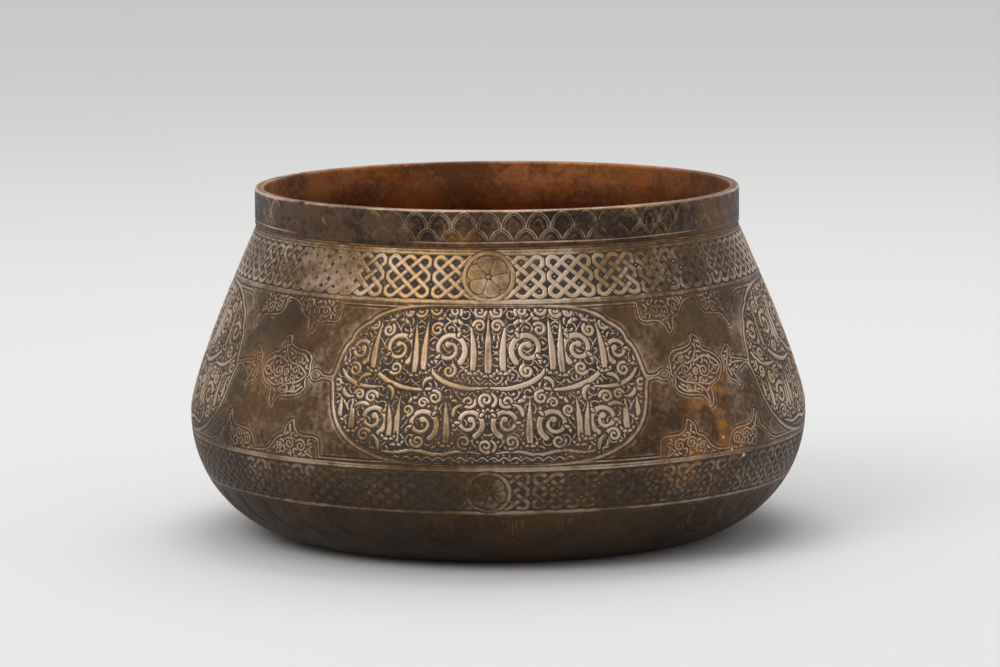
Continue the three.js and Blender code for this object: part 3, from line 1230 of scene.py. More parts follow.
    def spread(self, distance: np.ndarray, inset: float = 0.0) -> np.ndarray:
        """Half angle of a cartouche: a rounded lobe, a small point halfway down and cusps that bite into it.

        Args:
            distance: Distance down the wall.
            inset: How far the edge is drawn in, in millimetres.

        Returns:
            The half angles in radians.
        """
        top, end = self.levels.frieze_top, self.levels.frieze_end
        middle = (top + end) / 2
        part = np.minimum(np.abs(distance - middle) / ((end - top) / 2 + self.overrun), 1)
        lobe = self.half_angle * (1 - part**self.end_power) ** (1 / self.side_power)
        point = self.point * np.exp(-np.abs(distance - middle) / self.point_reach)
        for place, bite, reach in self.cusps:
            point = point - bite * np.exp(-np.abs(distance - place) / reach)
        return lobe + (point - inset) / self.levels.outline.radius(distance)

    def cartouche(self, middle: float) -> np.ndarray:
        """The closed outline of a cartouche about a place across.

        Args:
            middle: The place of its middle.

        Returns:
            Its corners, one row each.
        """
        top, end = self.levels.frieze_top - self.overrun, self.levels.frieze_end + self.overrun
        distance = (top + end) / 2 + (end - top) / 2 * np.sin(np.linspace(-np.pi / 2, np.pi / 2, 121))
        across = self.spread(distance) * self.reference
        left, right = (np.column_stack([middle + side * across, distance]) for side in (-1, 1))
        return np.vstack([left, right[::-1]])

    def bar(self, start: tuple, end: tuple, x: np.ndarray, y: np.ndarray) -> np.ndarray:
        """How far points lie inside a short rounded bar between two places.

        Args:
            start: First place.
            end: Other place.
            x: Places of the points across.
            y: Places of the points down.

        Returns:
            The depths in millimetres.
        """
        run = np.subtract(end, start)
        share = np.clip(((x - start[0]) * run[0] + (y - start[1]) * run[1]) / (run @ run), 0, 1)
        return self.neck - np.hypot(x - start[0] - share * run[0], y - start[1] - share * run[1])

    def joined(self, first: np.ndarray, second: np.ndarray) -> np.ndarray:
        """The larger of two depths, rounded where they meet by the square of what they lack of the blend."""
        lack = np.maximum(self.blend - np.abs(first - second), 0)
        return np.maximum(first, second) + lack**2 / (4 * self.blend)

    def flowers(self, x: np.ndarray, y: np.ndarray) -> tuple:
        """How far points lie inside the palmettes and leaves, and inside these, the knob and the necks.

        Args:
            x: Places of the points across.
            y: Places of the points down.

        Returns:
            Both depths in millimetres.
        """
        depth = [region_depth(through(shape, 90, closed=True), x, y) for shape in self.palmettes]
        for leaf in self.hanging_leaves:
            outline = through(leaf, 96, closed=True)
            depth += [region_depth(outline, x, y), region_depth(outline, x, 2 * self.mirror_level - y)]
        leaves = np.maximum.reduce(depth)
        knob_x, knob_y, knob_radius = self.knob
        knob = knob_radius - np.hypot(x - knob_x, (y - knob_y) * 1.15)
        necks = [self.bar(start, end, x, y) for start, end in self.necks]
        return leaves, np.maximum(leaves, self.joined(knob, np.maximum(*necks)))

    @staticmethod
    def coil(x: float, y: float, reach: float, side: int) -> np.ndarray:
        """A small spiral of one and a half turns whose radius shrinks evenly."""
        share = np.linspace(0, 1, 26)
        return np.array([x, y]) + spiral(reach * (1 - 0.8 * share), side * (0.6 + TURN * 1.5 * share))

    def scrolls(self, ground: Ground) -> None:
        """Leaves the stems and spirals inside the palmettes and leaves standing on a ground.

        Args:
            ground: The ground.
        """
        for points in self.stems:
            ground.stroke(through(points, 28), np.linspace(0.42, 0.24, 28))
        for coil in self.coils:
            ground.stroke(self.coil(*coil), self.coil_half)
        for x, y, reach in self.leaf_coils:
            ground.stroke(self.coil(x, y, reach, 1), self.coil_half)
            ground.stroke(self.coil(x, 2 * self.mirror_level - y, reach, -1), self.coil_half)
        for x, y in self.leaf_tips:
            path = through(((x - 4.5, y - 6.0), (x - 1.2, y - 4.4), (x, y)), 16)
            for way in (path, path * [1, -1] + [0, 2 * self.mirror_level]):
                ground.stroke(way, np.linspace(0.2, 0.42, 16))

    def filling(self, across: np.ndarray, down: np.ndarray, seed: int) -> tuple:
        """Draws the leaf scroll of one cartouche.

        Args:
            across: Places of the grid's columns, from the cartouche's middle.
            down: Places of its rows.
            seed: Seed of the leaves that fill the empty places.

        Returns:
            How far points lie within the bold strokes and within the fine ones.
        """
        x, y = np.meshgrid(across, down)
        bold, fine, ribs = Ground(across, down), Ground(across, down), Ground(across, down)
        drawing, vines = Arabesque(bold, seed), Arabesque(fine, seed + 1)
        half = (x > 0.3) & (region_depth(self.cartouche(0.0), x, y) > self.drop_margin)
        thinned = half[:: drawing.thinning, :: drawing.thinning]
        drawing.compose_bold()
        drawing.scatter(thinned, *self.bold_drops, True, curl=self.curl_room)
        for rib in drawing.ribs:
            ribs.stroke(rib, self.rib_half)
        vines.compose_fine()
        fine.inside = np.maximum(fine.inside, bold.inside)
        vines.scatter(thinned, *self.fine_drops, True)
        return bold.inside - 0.5 * ease(-0.15, 0.1, ribs.inside) * (bold.inside > 0), fine.inside

    def fill_leaves(self, across: np.ndarray, down: np.ndarray, leafy: np.ndarray) -> tuple:
        """Draws the scrolls and drops inside the palmettes and leaves of one tile.

        Args:
            across: Places of the columns, in any order.
            down: Places of the rows.
            leafy: How far each point lies inside them.

        Returns:
            How much of a stroke stands at each point, and the share of the place that is filled.
        """
        order = np.argsort(across)
        ground = Ground(across[order], down)
        self.scrolls(ground)
        drops = Arabesque(ground, self.leaf_seed)
        room = leafy[:, order][:: drops.thinning, :: drops.thinning] > self.border + self.leaf_margin
        drops.scatter(room, *self.leaf_drops, False)
        standing = ease(-0.14, 0.1, ground.inside[:, np.argsort(order)])
        return standing, ease(self.border + 0.15, self.border + 0.5, leafy)

    def fill_cartouche(
        self, across: np.ndarray, down: np.ndarray, room: np.ndarray, worn: np.ndarray, place: np.ndarray,
        seed: int,
    ) -> tuple:
        """Carves the leaf scroll of one cartouche: the ground is sunk and the strokes stand at two heights.

        Args:
            across: Places of the columns, from the cartouche's middle.
            down: Places of the rows.
            room: How far each point lies inside the cartouche's border.
            worn: Wear of each point.
            place: Place across of each point as the frieze is drawn.
            seed: Seed of the small leaves, which also shifts the waves of the brightness.

        Returns:
            Relief and brightness.
        """
        bold, fine = self.filling(across, down, seed)
        bold = np.minimum(bold, room - 0.25)
        fine = np.minimum(np.minimum(fine, room - 0.15), -bold - 0.22)
        rise, low_rise = ease(-0.24, 0.2, bold), ease(-0.16, 0.16, fine)
        crown, ground = self.crown - 0.12 * worn, self.ground + 0.28 * worn
        height = np.maximum(ground + (crown - ground) * rise, ground + (self.low_crown - ground) * low_rise)
        y, phase = down[:, None], seed % 4
        wave = np.sin(0.19 * place + 0.06 * y + phase) * np.sin(0.13 * y - 0.05 * place + phase)
        # painted shade, partly wear and grime: the strokes darken towards the cartouche's lower edge
        lit = self.lit - 0.2 * worn + 0.09 * wave - 0.13 * ease(58, 76, y)
        low_lit = self.low_lit - 0.06 * worn
        return height, np.maximum(self.floor + (lit - self.floor) * rise, self.floor + low_lit * low_rise)

    def carve(self, angle: np.ndarray, down: np.ndarray, across: np.ndarray, side: Side | None) -> tuple:
        """Relief and brightness of one tile of the frieze.

        Two engraved lines follow the edge of everything that is drawn, with a thin raised fillet between.

        Args:
            angle: Angles of the columns round the bowl.
            down: Distances of the rows down the wall.
            across: Places of the columns, in millimetres.
            side: Side of the tile's cartouche, or None where it has none.

        Returns:
            Offsets in millimetres and brightness from 0 to 1.
        """
        top, end = self.levels.frieze_top, self.levels.frieze_end
        turn = angle[None, :]
        x, y = np.meshgrid(self.far - np.abs(self.far - np.abs(across)), down)
        leafy, flowers = self.flowers(x, y)
        frames = np.maximum(*(region_depth(self.cartouche(middle), x, y) for middle in (0.0, self.far)))
        strips = np.maximum(self.top_line - y, y - self.bottom_line)
        depth = np.maximum(self.joined(flowers, frames), strips)
        inner = (y > top + 0.3) & (y < end - 0.3)
        border = self.border + self.broader * ease(-0.5, 1.0, frames)
        edges = groove(depth, *self.outer_line) + groove(depth - border, *self.inner_line) * inner
        height = self.rings.height(turn, y) + np.where(y > 20.0, edges, 0.0)
        fillet = ease(0.1, 0.4, depth) * (1 - ease(-0.4, -0.1, depth - border))
        # painted highlight: a soft bright patch beside each cartouche above the belly, partly standing for
        # rubbing there
        painted_sheen = np.exp(-((frames / 14) ** 2) - ((y - 36) / 15) ** 2)
        base = PLAIN + 0.09 * painted_sheen + (0.22 - 0.13 * ease(-0.5, 0.5, frames)) * fillet
        base = base + (self.rings.brightness(turn) - base) * ease(-0.1, 0.3, np.maximum(top - y, y - end))
        if side is None:
            standing, share = self.fill_leaves(across, down, leafy)
            share = share * inner
            height = height - self.leaf_sunk * share * (1 - standing)
            base = base + share * (self.leaf_lit * standing + self.leaf_floor * (1 - standing) - base)
        else:
            local, room = across - (self.far if side.value % 2 else 0.0), frames - border - 0.45
            worn = self.wear.amount(turn, y)
            carved, shade = self.fill_cartouche(local, down, room, worn, x, self.first_seed + side.value)
            share = ease(-0.2, 0.15, room)
            height, base = height + (carved - height) * share, base + (shade - base) * share
        return height + undulation(turn, y), base


def colour(code: str) -> tuple:
    """A screen colour written as six hexadecimal digits, as the linear values that shaders take.

    Args:
        code: The six digits.

    Returns:
        Red, green and blue, and an alpha of 1.
    """
    parts = np.array([int(code[k : k + 2], 16) for k in (0, 2, 4)]) / 255
    linear = np.where(parts <= 0.04045, parts / 12.92, ((parts + 0.055) / 1.055) ** 2.4)
    return (*linear.tolist(), 1.0)


class Nodes:
    """A shorthand for making one material's node tree."""

    def __init__(self, name: str) -> None:
        """Starts a material of that name with one shader.

        Args:
            name: The material's name.
        """
        self.material = bpy.data.materials.new(name)
        self.material.use_nodes = True
        self.tree = self.material.node_tree
        self.tree.nodes.clear()
        self.shader = self.tree.nodes.new("ShaderNodeBsdfPrincipled")
        output = self.tree.nodes.new("ShaderNodeOutputMaterial")
        self.tree.links.new(self.shader.outputs["BSDF"], output.inputs["Surface"])
        self.place = self.tree.nodes.new("ShaderNodeTexCoord").outputs["Object"]

    def fill(self, socket: bpy.types.NodeSocket, value: object) -> None:
        """Gives a socket a value or a link.

        Args:
            socket: The socket.
            value: A value, or another node's socket.
        """
        if isinstance(value, bpy.types.NodeSocket):
            self.tree.links.new(value, socket)
        else:
            socket.default_value = value

    def put(self, kind: str, inputs: dict, **settings: object) -> bpy.types.Node:
        """Adds a node, sets its fields and fills its sockets with values or links.

        Args:
            kind: Type of the node.
            inputs: Values and links by the names or numbers of their sockets.
            settings: Values of the node's fields.

        Returns:
            The node.
        """
        node = self.tree.nodes.new(kind)
        for setting, value in settings.items():
            setattr(node, setting, value)
        for socket, value in inputs.items():
            self.fill(node.inputs[socket], value)
        return node

    def set(self, socket: str, value: object) -> None:
        """Fills a socket of the shader."""
        self.fill(self.shader.inputs[socket], value)

    def attribute(self, name: str) -> bpy.types.NodeSocket:
        """A number stored on the mesh."""
        return self.put("ShaderNodeAttribute", {}, attribute_name=name).outputs["Fac"]

    def stretched(self, scale: tuple) -> bpy.types.NodeSocket:
        """Object coordinates stretched along the axes."""
        return self.put("ShaderNodeMapping", {"Vector": self.place, "Scale": scale}).outputs["Vector"]

    def noise(self, scale: float, detail: float, roughness: float, place: object = None) -> object:
        """Fractal noise between 0 and 1, with its features a metre over its scale wide."""
        inputs = {"Vector": place or self.place, "Scale": scale, "Detail": detail, "Roughness": roughness}
        return self.put("ShaderNodeTexNoise", inputs).outputs["Fac"]

    def cells(self, scale: float) -> object:
        """Distance to the nearest of points scattered in cells."""
        return self.put("ShaderNodeTexVoronoi", {"Vector": self.place, "Scale": scale}).outputs["Distance"]

    def span(self, value: object, low: float, high: float, first: float = 0.0, last: float = 1.0) -> object:
        """Carries a value from one range to another by a smooth step."""
        inputs = {"Value": value, "From Min": low, "From Max": high, "To Min": first, "To Max": last}
        return self.put("ShaderNodeMapRange", inputs, interpolation_type="SMOOTHSTEP").outputs["Result"]

    def math(self, operation: str, first: object, second: object) -> object:
        """Arithmetic on two values."""
        return self.put("ShaderNodeMath", {0: first, 1: second}, operation=operation).outputs[0]

    def varied(self, value: object, noise: object, swing: float) -> object:
        """A value to which noise adds or takes away up to a swing."""
        return self.math("ADD", value, self.span(noise, 0.3, 0.7, -swing, swing))

    def mix(self, share: object, first: object, second: object) -> object:
        """A colour between two others."""
        return self.put("ShaderNodeMix", {"Factor": share, 6: first, 7: second}, data_type="RGBA").outputs[2]

    def axis(self, name: str) -> object:
        """One of the object coordinates."""
        return self.put("ShaderNodeSeparateXYZ", {"Vector": self.place}).outputs[name]

    def near(self, centre: tuple, reach: float) -> object:
        """1 at a place and 0 beyond a distance from it, in metres."""
        node = self.put("ShaderNodeVectorMath", {0: self.place, 1: centre}, operation="DISTANCE")
        return self.span(node.outputs["Value"], 0.2 * reach, reach, 1.0, 0.0)

    def bump(self, *layers: tuple) -> None:
        """Sets fine roughness of the surface, from pairs of a value and its depth in metres."""
        normal = {}
        for height, depth in layers:
            inputs = {"Height": height, "Strength": 1.0, "Distance": depth, **normal}
            normal = {"Normal": self.put("ShaderNodeBump", inputs).outputs["Normal"]}
        self.set("Normal", normal["Normal"])


@dataclass(frozen=True)
class AgedCopper:
    """Old copper: grime in the hollows, brown patina on the plain parts, bare metal where it is rubbed.

    The mesh attribute worn says how rubbed each place is; noise breaks it up and stains it. The dark colour
    of the hollows also serves as painted shade, with which the wall can be darkened towards the bottom. A
    blot is its place, reach and strength, and a speck its place and reach, in metres.
    """

    name: str
    dirt_and_shade: str = "1d1612"
    patina: str = "5b432a"
    deep: str = "3b2b1e"
    bright: str = "b09a84"
    dull: str = "8a6d4c"
    rust: str = "966028"
    rust_share: float = 0.18
    cloud: float = 26
    patches: tuple = (0.3, 0.7)
    # painted shade towards the bottom: its strength, and the heights in metres over which it fades out
    painted_low_shade: float = 0.0
    painted_shade_heights: tuple = (0.012, 0.062)
    blots: tuple = ()
    specks: tuple = ()
    fleck: str = "c8c0b0"
    smooth: float = 0.34
    rough: float = 0.62
    swings: tuple = (0.08, 0.06, 0.04)
    dirt_levels: tuple = (0.08, 0.34)
    bare_levels: tuple = (0.44, 0.8)
    depths: tuple = (0.0003, 0.00016, 0.00009, 0.00004)

    def stain(self, nodes: Nodes) -> object:
        """Share of rust: broad patches all over, and broken blots at chosen places.

        Args:
            nodes: The material's nodes.

        Returns:
            The socket that holds the share.
        """
        stain = nodes.span(nodes.noise(23, 7, 0.7, nodes.stretched((1.0, 1.0, 1.6))), 0.52, 0.68)
        stain = nodes.math("MULTIPLY", stain, self.rust_share)
        for place, reach, strength in self.blots:
            blot = nodes.math("MULTIPLY", nodes.near(place, reach), strength)
            broken = nodes.span(nodes.noise(96, 6, 0.72), 0.43, 0.58)
            stain = nodes.math("MAXIMUM", stain, nodes.math("MULTIPLY", blot, broken))
        return stain

    def build(self) -> bpy.types.Material:
        """Makes the material.

        Returns:
            The material.
        """
        nodes = Nodes(self.name)
        cloud, mottle, grain = nodes.noise(17, 5, 0.6), nodes.noise(85, 5, 0.62), nodes.noise(520, 4, 0.6)
        level = nodes.attribute("worn")
        for noise, swing in zip((cloud, mottle, grain), self.swings):
            level = nodes.varied(level, noise, swing)
        fog = nodes.varied(nodes.noise(self.cloud, 6, 0.66), grain, 0.08)
        patina = nodes.mix(nodes.span(fog, *self.patches), colour(self.deep), colour(self.patina))
        patina = nodes.mix(self.stain(nodes), patina, colour(self.rust))
        body = nodes.mix(nodes.span(level, *self.dirt_levels), colour(self.dirt_and_shade), patina)
        glow = nodes.span(nodes.varied(nodes.noise(11, 3, 0.5), mottle, 0.1), 0.38, 0.62)
        bare = nodes.mix(glow, colour(self.dull), colour(self.bright))
        metal = nodes.mix(nodes.span(level, *self.bare_levels), body, bare)
        # painted shade: low on the wall the colour is mixed towards the dark colour of the hollows, partly
        # standing for grime towards the foot
        if self.painted_low_shade:
            shade = nodes.span(nodes.axis("Z"), *self.painted_shade_heights, self.painted_low_shade, 0.0)
            metal = nodes.mix(shade, metal, colour(self.dirt_and_shade))
        for place, reach in self.specks:
            metal = nodes.mix(nodes.near(place, reach), metal, colour(self.fleck))
        nodes.set("Base Color", metal)
        nodes.set("Metallic", nodes.span(level, 0.05, 0.5, 0.25, 0.9))
        roughness = nodes.span(level, 0.1, 0.8, self.rough, self.smooth)
        nodes.set("Roughness", nodes.math("ADD", roughness, nodes.span(mottle, 0.3, 0.7, -0.05, 0.09)))
        scratches = nodes.noise(300, 3, 0.5, nodes.stretched((1.0, 1.0, 9.0)))
        dents = nodes.noise(46, 3, 0.5)
        nodes.bump(*zip((dents, mottle, grain, scratches), self.depths))
        return nodes.material


@dataclass(frozen=True)
class Composition:
    """The black paste that fills the ground: matt, cracked in places and dusty brown where it is thin."""

    name: str = "black_composition"
    paste: str = "251d17"
    dust: str = "4b3a2b"
    roughness: tuple = (0.62, 0.9)
    grain_depth: float = 0.00012
    crack_depth: float = 0.00006

    def build(self) -> bpy.types.Material:
        """Makes the material.

        Returns:
            The material.
        """
        nodes = Nodes(self.name)
        cloud, grain = nodes.noise(60, 6, 0.66), nodes.noise(700, 3, 0.6)
        thin = nodes.span(cloud, 0.42, 0.68)
        nodes.set("Base Color", nodes.mix(thin, colour(self.paste), colour(self.dust)))
        nodes.set("Roughness", nodes.span(grain, 0.3, 0.7, *self.roughness))
        cracks = nodes.span(nodes.cells(900), 0.0, 0.25)
        nodes.bump((grain, self.grain_depth), (cracks, self.crack_depth))
        return nodes.material


@dataclass(frozen=True)
class Brazing:
    """Yellowish solder at the joints, dulled and pitted."""

    name: str = "brazing"
    metal: str = "8d6d42"
    dull: str = "5a422c"
    metallic: tuple = (0.4, 0.9)
    roughness: tuple = (0.42, 0.68)
    dent_depth: float = 0.0003
    pit_depth: float = 0.00008

    def build(self) -> bpy.types.Material:
        """Makes the material.

        Returns:
            The material.
        """
        nodes = Nodes(self.name)
        cloud, pits = nodes.noise(120, 6, 0.65), nodes.noise(900, 3, 0.6)
        bare = nodes.span(cloud, 0.4, 0.66)
        nodes.set("Base Color", nodes.mix(bare, colour(self.dull), colour(self.metal)))
        nodes.set("Metallic", nodes.span(cloud, 0.35, 0.6, *self.metallic))
        nodes.set("Roughness", nodes.span(pits, 0.3, 0.7, *self.roughness))
        nodes.bump((cloud, self.dent_depth), (pits, self.pit_depth))
        return nodes.material


@dataclass(frozen=True)
class Finishes:
    """The finishes of all pieces, each built once. A place is degrees from the front, radius and height."""

    blots: tuple = (
        ((46, 112, 52), 0.024, 0.95), ((38, 112, 42), 0.018, 0.8), ((-50, 110, 66), 0.02, 0.4),
        ((140, 111, 60), 0.026, 0.8), ((-128, 108, 70), 0.03, 0.6),
    )
    specks: tuple = (
        ((57.6, 112, 62), 0.0009), ((52.6, 114.6, 38), 0.0012), ((-24, 113, 48), 0.0014),
        ((49.0, 114.8, 41), 0.001), ((46.5, 115, 46), 0.0008), ((-8, 113, 27), 0.0012),
    )
    # pale flecks on the back-left lip: chipped spots, partly a painted highlight on the rim
    chips_and_glints: tuple = (
        ((-111.5, 89.4, 129.1), 0.0018), ((-114.0, 89.2, 129.1), 0.0022),
        ((-116.6, 89.4, 129.1), 0.0016), ((-119.0, 89.2, 129.1), 0.002),
    )

    @staticmethod
    def placed(marks: tuple) -> tuple:
        """The same marks with their places in metres."""
        return tuple((on_wall(*place), *rest) for place, *rest in marks)

    @cached_property
    def carved(self) -> bpy.types.Material:
        """The carved wall's copper, darkened towards the bottom as painted shade."""
        blots, specks = self.placed(self.blots), self.placed(self.specks)
        return AgedCopper("carved_copper", painted_low_shade=0.38, blots=blots, specks=specks).build()

    @cached_property
    def collar(self) -> bpy.types.Material:
        """The collar's darker copper.

        Returns:
            The material.
        """
        return AgedCopper(
            "collar_copper", patina="543e2c", deep="2b1f17", rust="70481f", bright="b39a82", dull="8a7158",
            rust_share=0.8, smooth=0.3, cloud=44, patches=(0.4, 0.6),
        ).build()

    @cached_property
    def inside(self) -> bpy.types.Material:
        """The warmer copper of the inside, with pale flecks on the lip: chipped spots that are also a
        painted highlight.

        Returns:
            The material.
        """
        return AgedCopper(
            "inside_copper", patina="a2683a", deep="6b4023", rust="a85f26", bright="b0967c", dull="96775a",
            rust_share=0.7, smooth=0.36, cloud=34, patches=(0.36, 0.64), specks=self.placed(self.chips_and_glints),
            fleck="d6b296",
        ).build()

    @cached_property
    def paste(self) -> bpy.types.Material:
        """The black composition."""
        return Composition().build()

    @cached_property
    def brazing(self) -> bpy.types.Material:
        """The solder."""
        return Brazing().build()


@dataclass
class SubAssembly:
    """What every group of pieces has: the wall's outline, the finishes and the way to dress a piece."""

    outline: Outline
    finishes: Finishes

    @staticmethod
    def dress(piece: bpy.types.Object, node: str, slot: str, finish: bpy.types.Material) -> None:
        """Gives a piece its finish and body, and hides the solid that it stands for.

        Args:
            piece: The piece.
            node: Name of the solid.
            slot: Name of the record's material slot; not used.
            finish: Its material.
        """
        piece.data.materials.append(finish)
        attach(piece, BODY)
        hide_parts(node)
        LOG.info("%s: %d faces", piece.name, len(piece.data.polygons))


@dataclass
class Carving(SubAssembly):
    """The carved outside: tiles of relief that together replace the wall's outer face.

    A grid is its rows and columns; the turn's are its rows down to the lappets' feet and under them, and its
    columns. A lappet's line is its inset, width and depth. The lower knots' first row is counted from the
    top of their band.
    """

    levels: Levels
    back_rows: int = 6
    gain: float = 1.3
    cartouche_half: float = degrees(33.5)
    lappet_count: int = 40
    lappet_radius: float = 104.0
    lappet_head: float = 7.7
    lappet_line: tuple = (1.6, 0.95, 0.3)
    turn_rest: float = 0.36
    shoulder_knots: Knotwork = Knotwork(first_row=4.7, row_step=2.72, half_columns=200, radius=94.0)
    shoulder_roundel: Roundel = Roundel(9.9, 94.5)
    lower_knots: Knotwork = Knotwork(2.6, 2.5, 232, 113.0, strap=0.78)
    # painted shade: the lower band's roundel tone and strap brightness are set below the shoulder band's,
    # darker towards the bottom
    lower_roundel: Roundel = Roundel(89.0, 112.5, 8.4, 6.9, petal_reach=3.93, petal_radius=2.84, tone=0.42)
    lower_wear: Wear = Wear(crisp=0.46)
    lower_proud: float = 0.53
    lower_floor: float = 0.2
    shoulder_grid: tuple = (72, 521)
    lower_grid: tuple = (50, 431)
    cartouche_grid: tuple = (178, 381)
    panel_grid: tuple = (174, 175)
    turn_grid: tuple = (36, 12, 561)

    def __post_init__(self) -> None:
        """Lays out the bands."""
        at = self.levels
        self.rings, self.wear = Rings(at), Wear()
        self.shoulder = KnotBand(
            self.shoulder_knots, self.shoulder_roundel, self.rings, self.wear, at.plain_strip,
            at.shoulder_end,
        )
        knots = replace(self.lower_knots, first_row=at.lower_top + self.lower_knots.first_row)
        self.lower = KnotBand(
            knots, self.lower_roundel, self.rings, self.lower_wear, at.lower_top, at.lower_end,
            proud=self.lower_proud, floor=self.lower_floor,
        )
        self.frieze = Frieze(at, self.rings, self.wear)

    def tile(
        self, name: str, angle: np.ndarray, distance: np.ndarray, height: np.ndarray, base: np.ndarray
    ) -> None:
        """Makes one tile of relief with its back at an even depth.

        Args:
            name: The piece's name.
            angle: Angles of its columns.
            distance: Distances of its rows down the wall.
            height: Relief of its points.
            base: Brightness of its points before rubbing.
        """
        front = self.outline.place(angle[None, :], distance[:, None], height)
        deep = np.linspace(distance[0], distance[-1], self.back_rows)[:, None]
        back = self.outline.place(angle[None, :], deep, np.full((self.back_rows, 1), -SKIN))
        piece = Mesher.shell(name, front, back, False, rubbed(height, base, self.gain))
        self.dress(piece, "bowl_wall", Slot.WALL.value, self.finishes.carved)

    def band(self, name: str, carver: KnotBand, start: float, end: float, grid: tuple) -> None:
        """Makes a knotwork band in four quarters whose joints lie between the cartouches.

        Args:
            name: Start of the pieces' names.
            carver: What carves the band.
            start: Distance down the wall at which it begins.
            end: Where it ends.
            grid: Rows and columns of each quarter.
        """
        for side in Side:
            angle = np.linspace(-0.5, 0.5, grid[1]) * QUARTER + side.angle
            distance = np.linspace(start, end, grid[0])
            relief = carver.carve(angle[None, :], distance[:, None])
            self.tile(f"{name}_{side.value + 1}", angle, distance, *relief)

    def panels(self, start: float, end: float) -> None:
        """Makes the four cartouches and the four plain panels between them.

        Args:
            start: Distance down the wall at which they begin.
            end: Where they end.
        """
        half, frieze = self.cartouche_half, self.frieze
        rows = np.linspace(start, end, self.cartouche_grid[0])
        gap_rows = np.linspace(start, end, self.panel_grid[0])
        local = np.linspace(-half, half, self.cartouche_grid[1])
        between = np.linspace(half, QUARTER - half, self.panel_grid[1])
        for side in Side:
            is_flank = side.value % 2 == 1
            angle = local + side.angle
            across = (frieze.far if is_flank else 0.0) + local * frieze.reference
            relief = frieze.carve(angle, rows, across, side)
            self.tile(f"cartouche_{side.label}", angle, rows, *relief)
            angle, across = between + side.angle, between * frieze.reference
            relief = frieze.carve(angle, gap_rows, frieze.far - across if is_flank else across, None)
            self.tile(f"panel_{side.value + 1}", angle, gap_rows, *relief)

    def turn(self, start: float) -> None:
        """Makes the turn under the lower band with its hanging lappets, and the flat face under it.

        Args:
            start: Distance down the wall at which it begins.
        """
        top, foot = self.levels.under_top, self.levels.under_top + self.levels.lappets
        heads = ((top + 0.5, 0.0),)
        lappets = Arches(
            self.lappet_count, self.lappet_radius, self.lappet_head, foot, heads, *self.lappet_line
        )
        rows, flat_rows, columns = self.turn_grid
        flat = np.linspace(foot + 4.5, self.outline.end_at, flat_rows)
        distance = np.concatenate([np.linspace(start, foot + 3, rows), flat])
        level = distance[:, None]
        fading = 1 - ease(self.outline.stand_at - 9, self.outline.stand_at - 1, level)
        for index in range(2):
            angle = np.linspace(0, np.pi, columns) + index * np.pi + QUARTER / 2
            turn = angle[None, :]
            drawn = lappets.carve(turn, top + foot - level) * (level < foot + 0.5)
            height = self.rings.height(turn, level) + drawn + undulation(turn, level)
            base = self.turn_rest + 0.1 * (1 - fading)
            self.tile(f"turn_{index + 1}", angle, distance, height * fading, base)

    def build(self) -> None:
        """Makes every tile."""
        top, shoulder_end, frieze_end, lower_end = self.levels.tile_edges
        self.band("shoulder_band", self.shoulder, top, shoulder_end, self.shoulder_grid)
        self.panels(shoulder_end, frieze_end)
        self.band("lower_band", self.lower, frieze_end, lower_end, self.lower_grid)
        self.turn(lower_end)


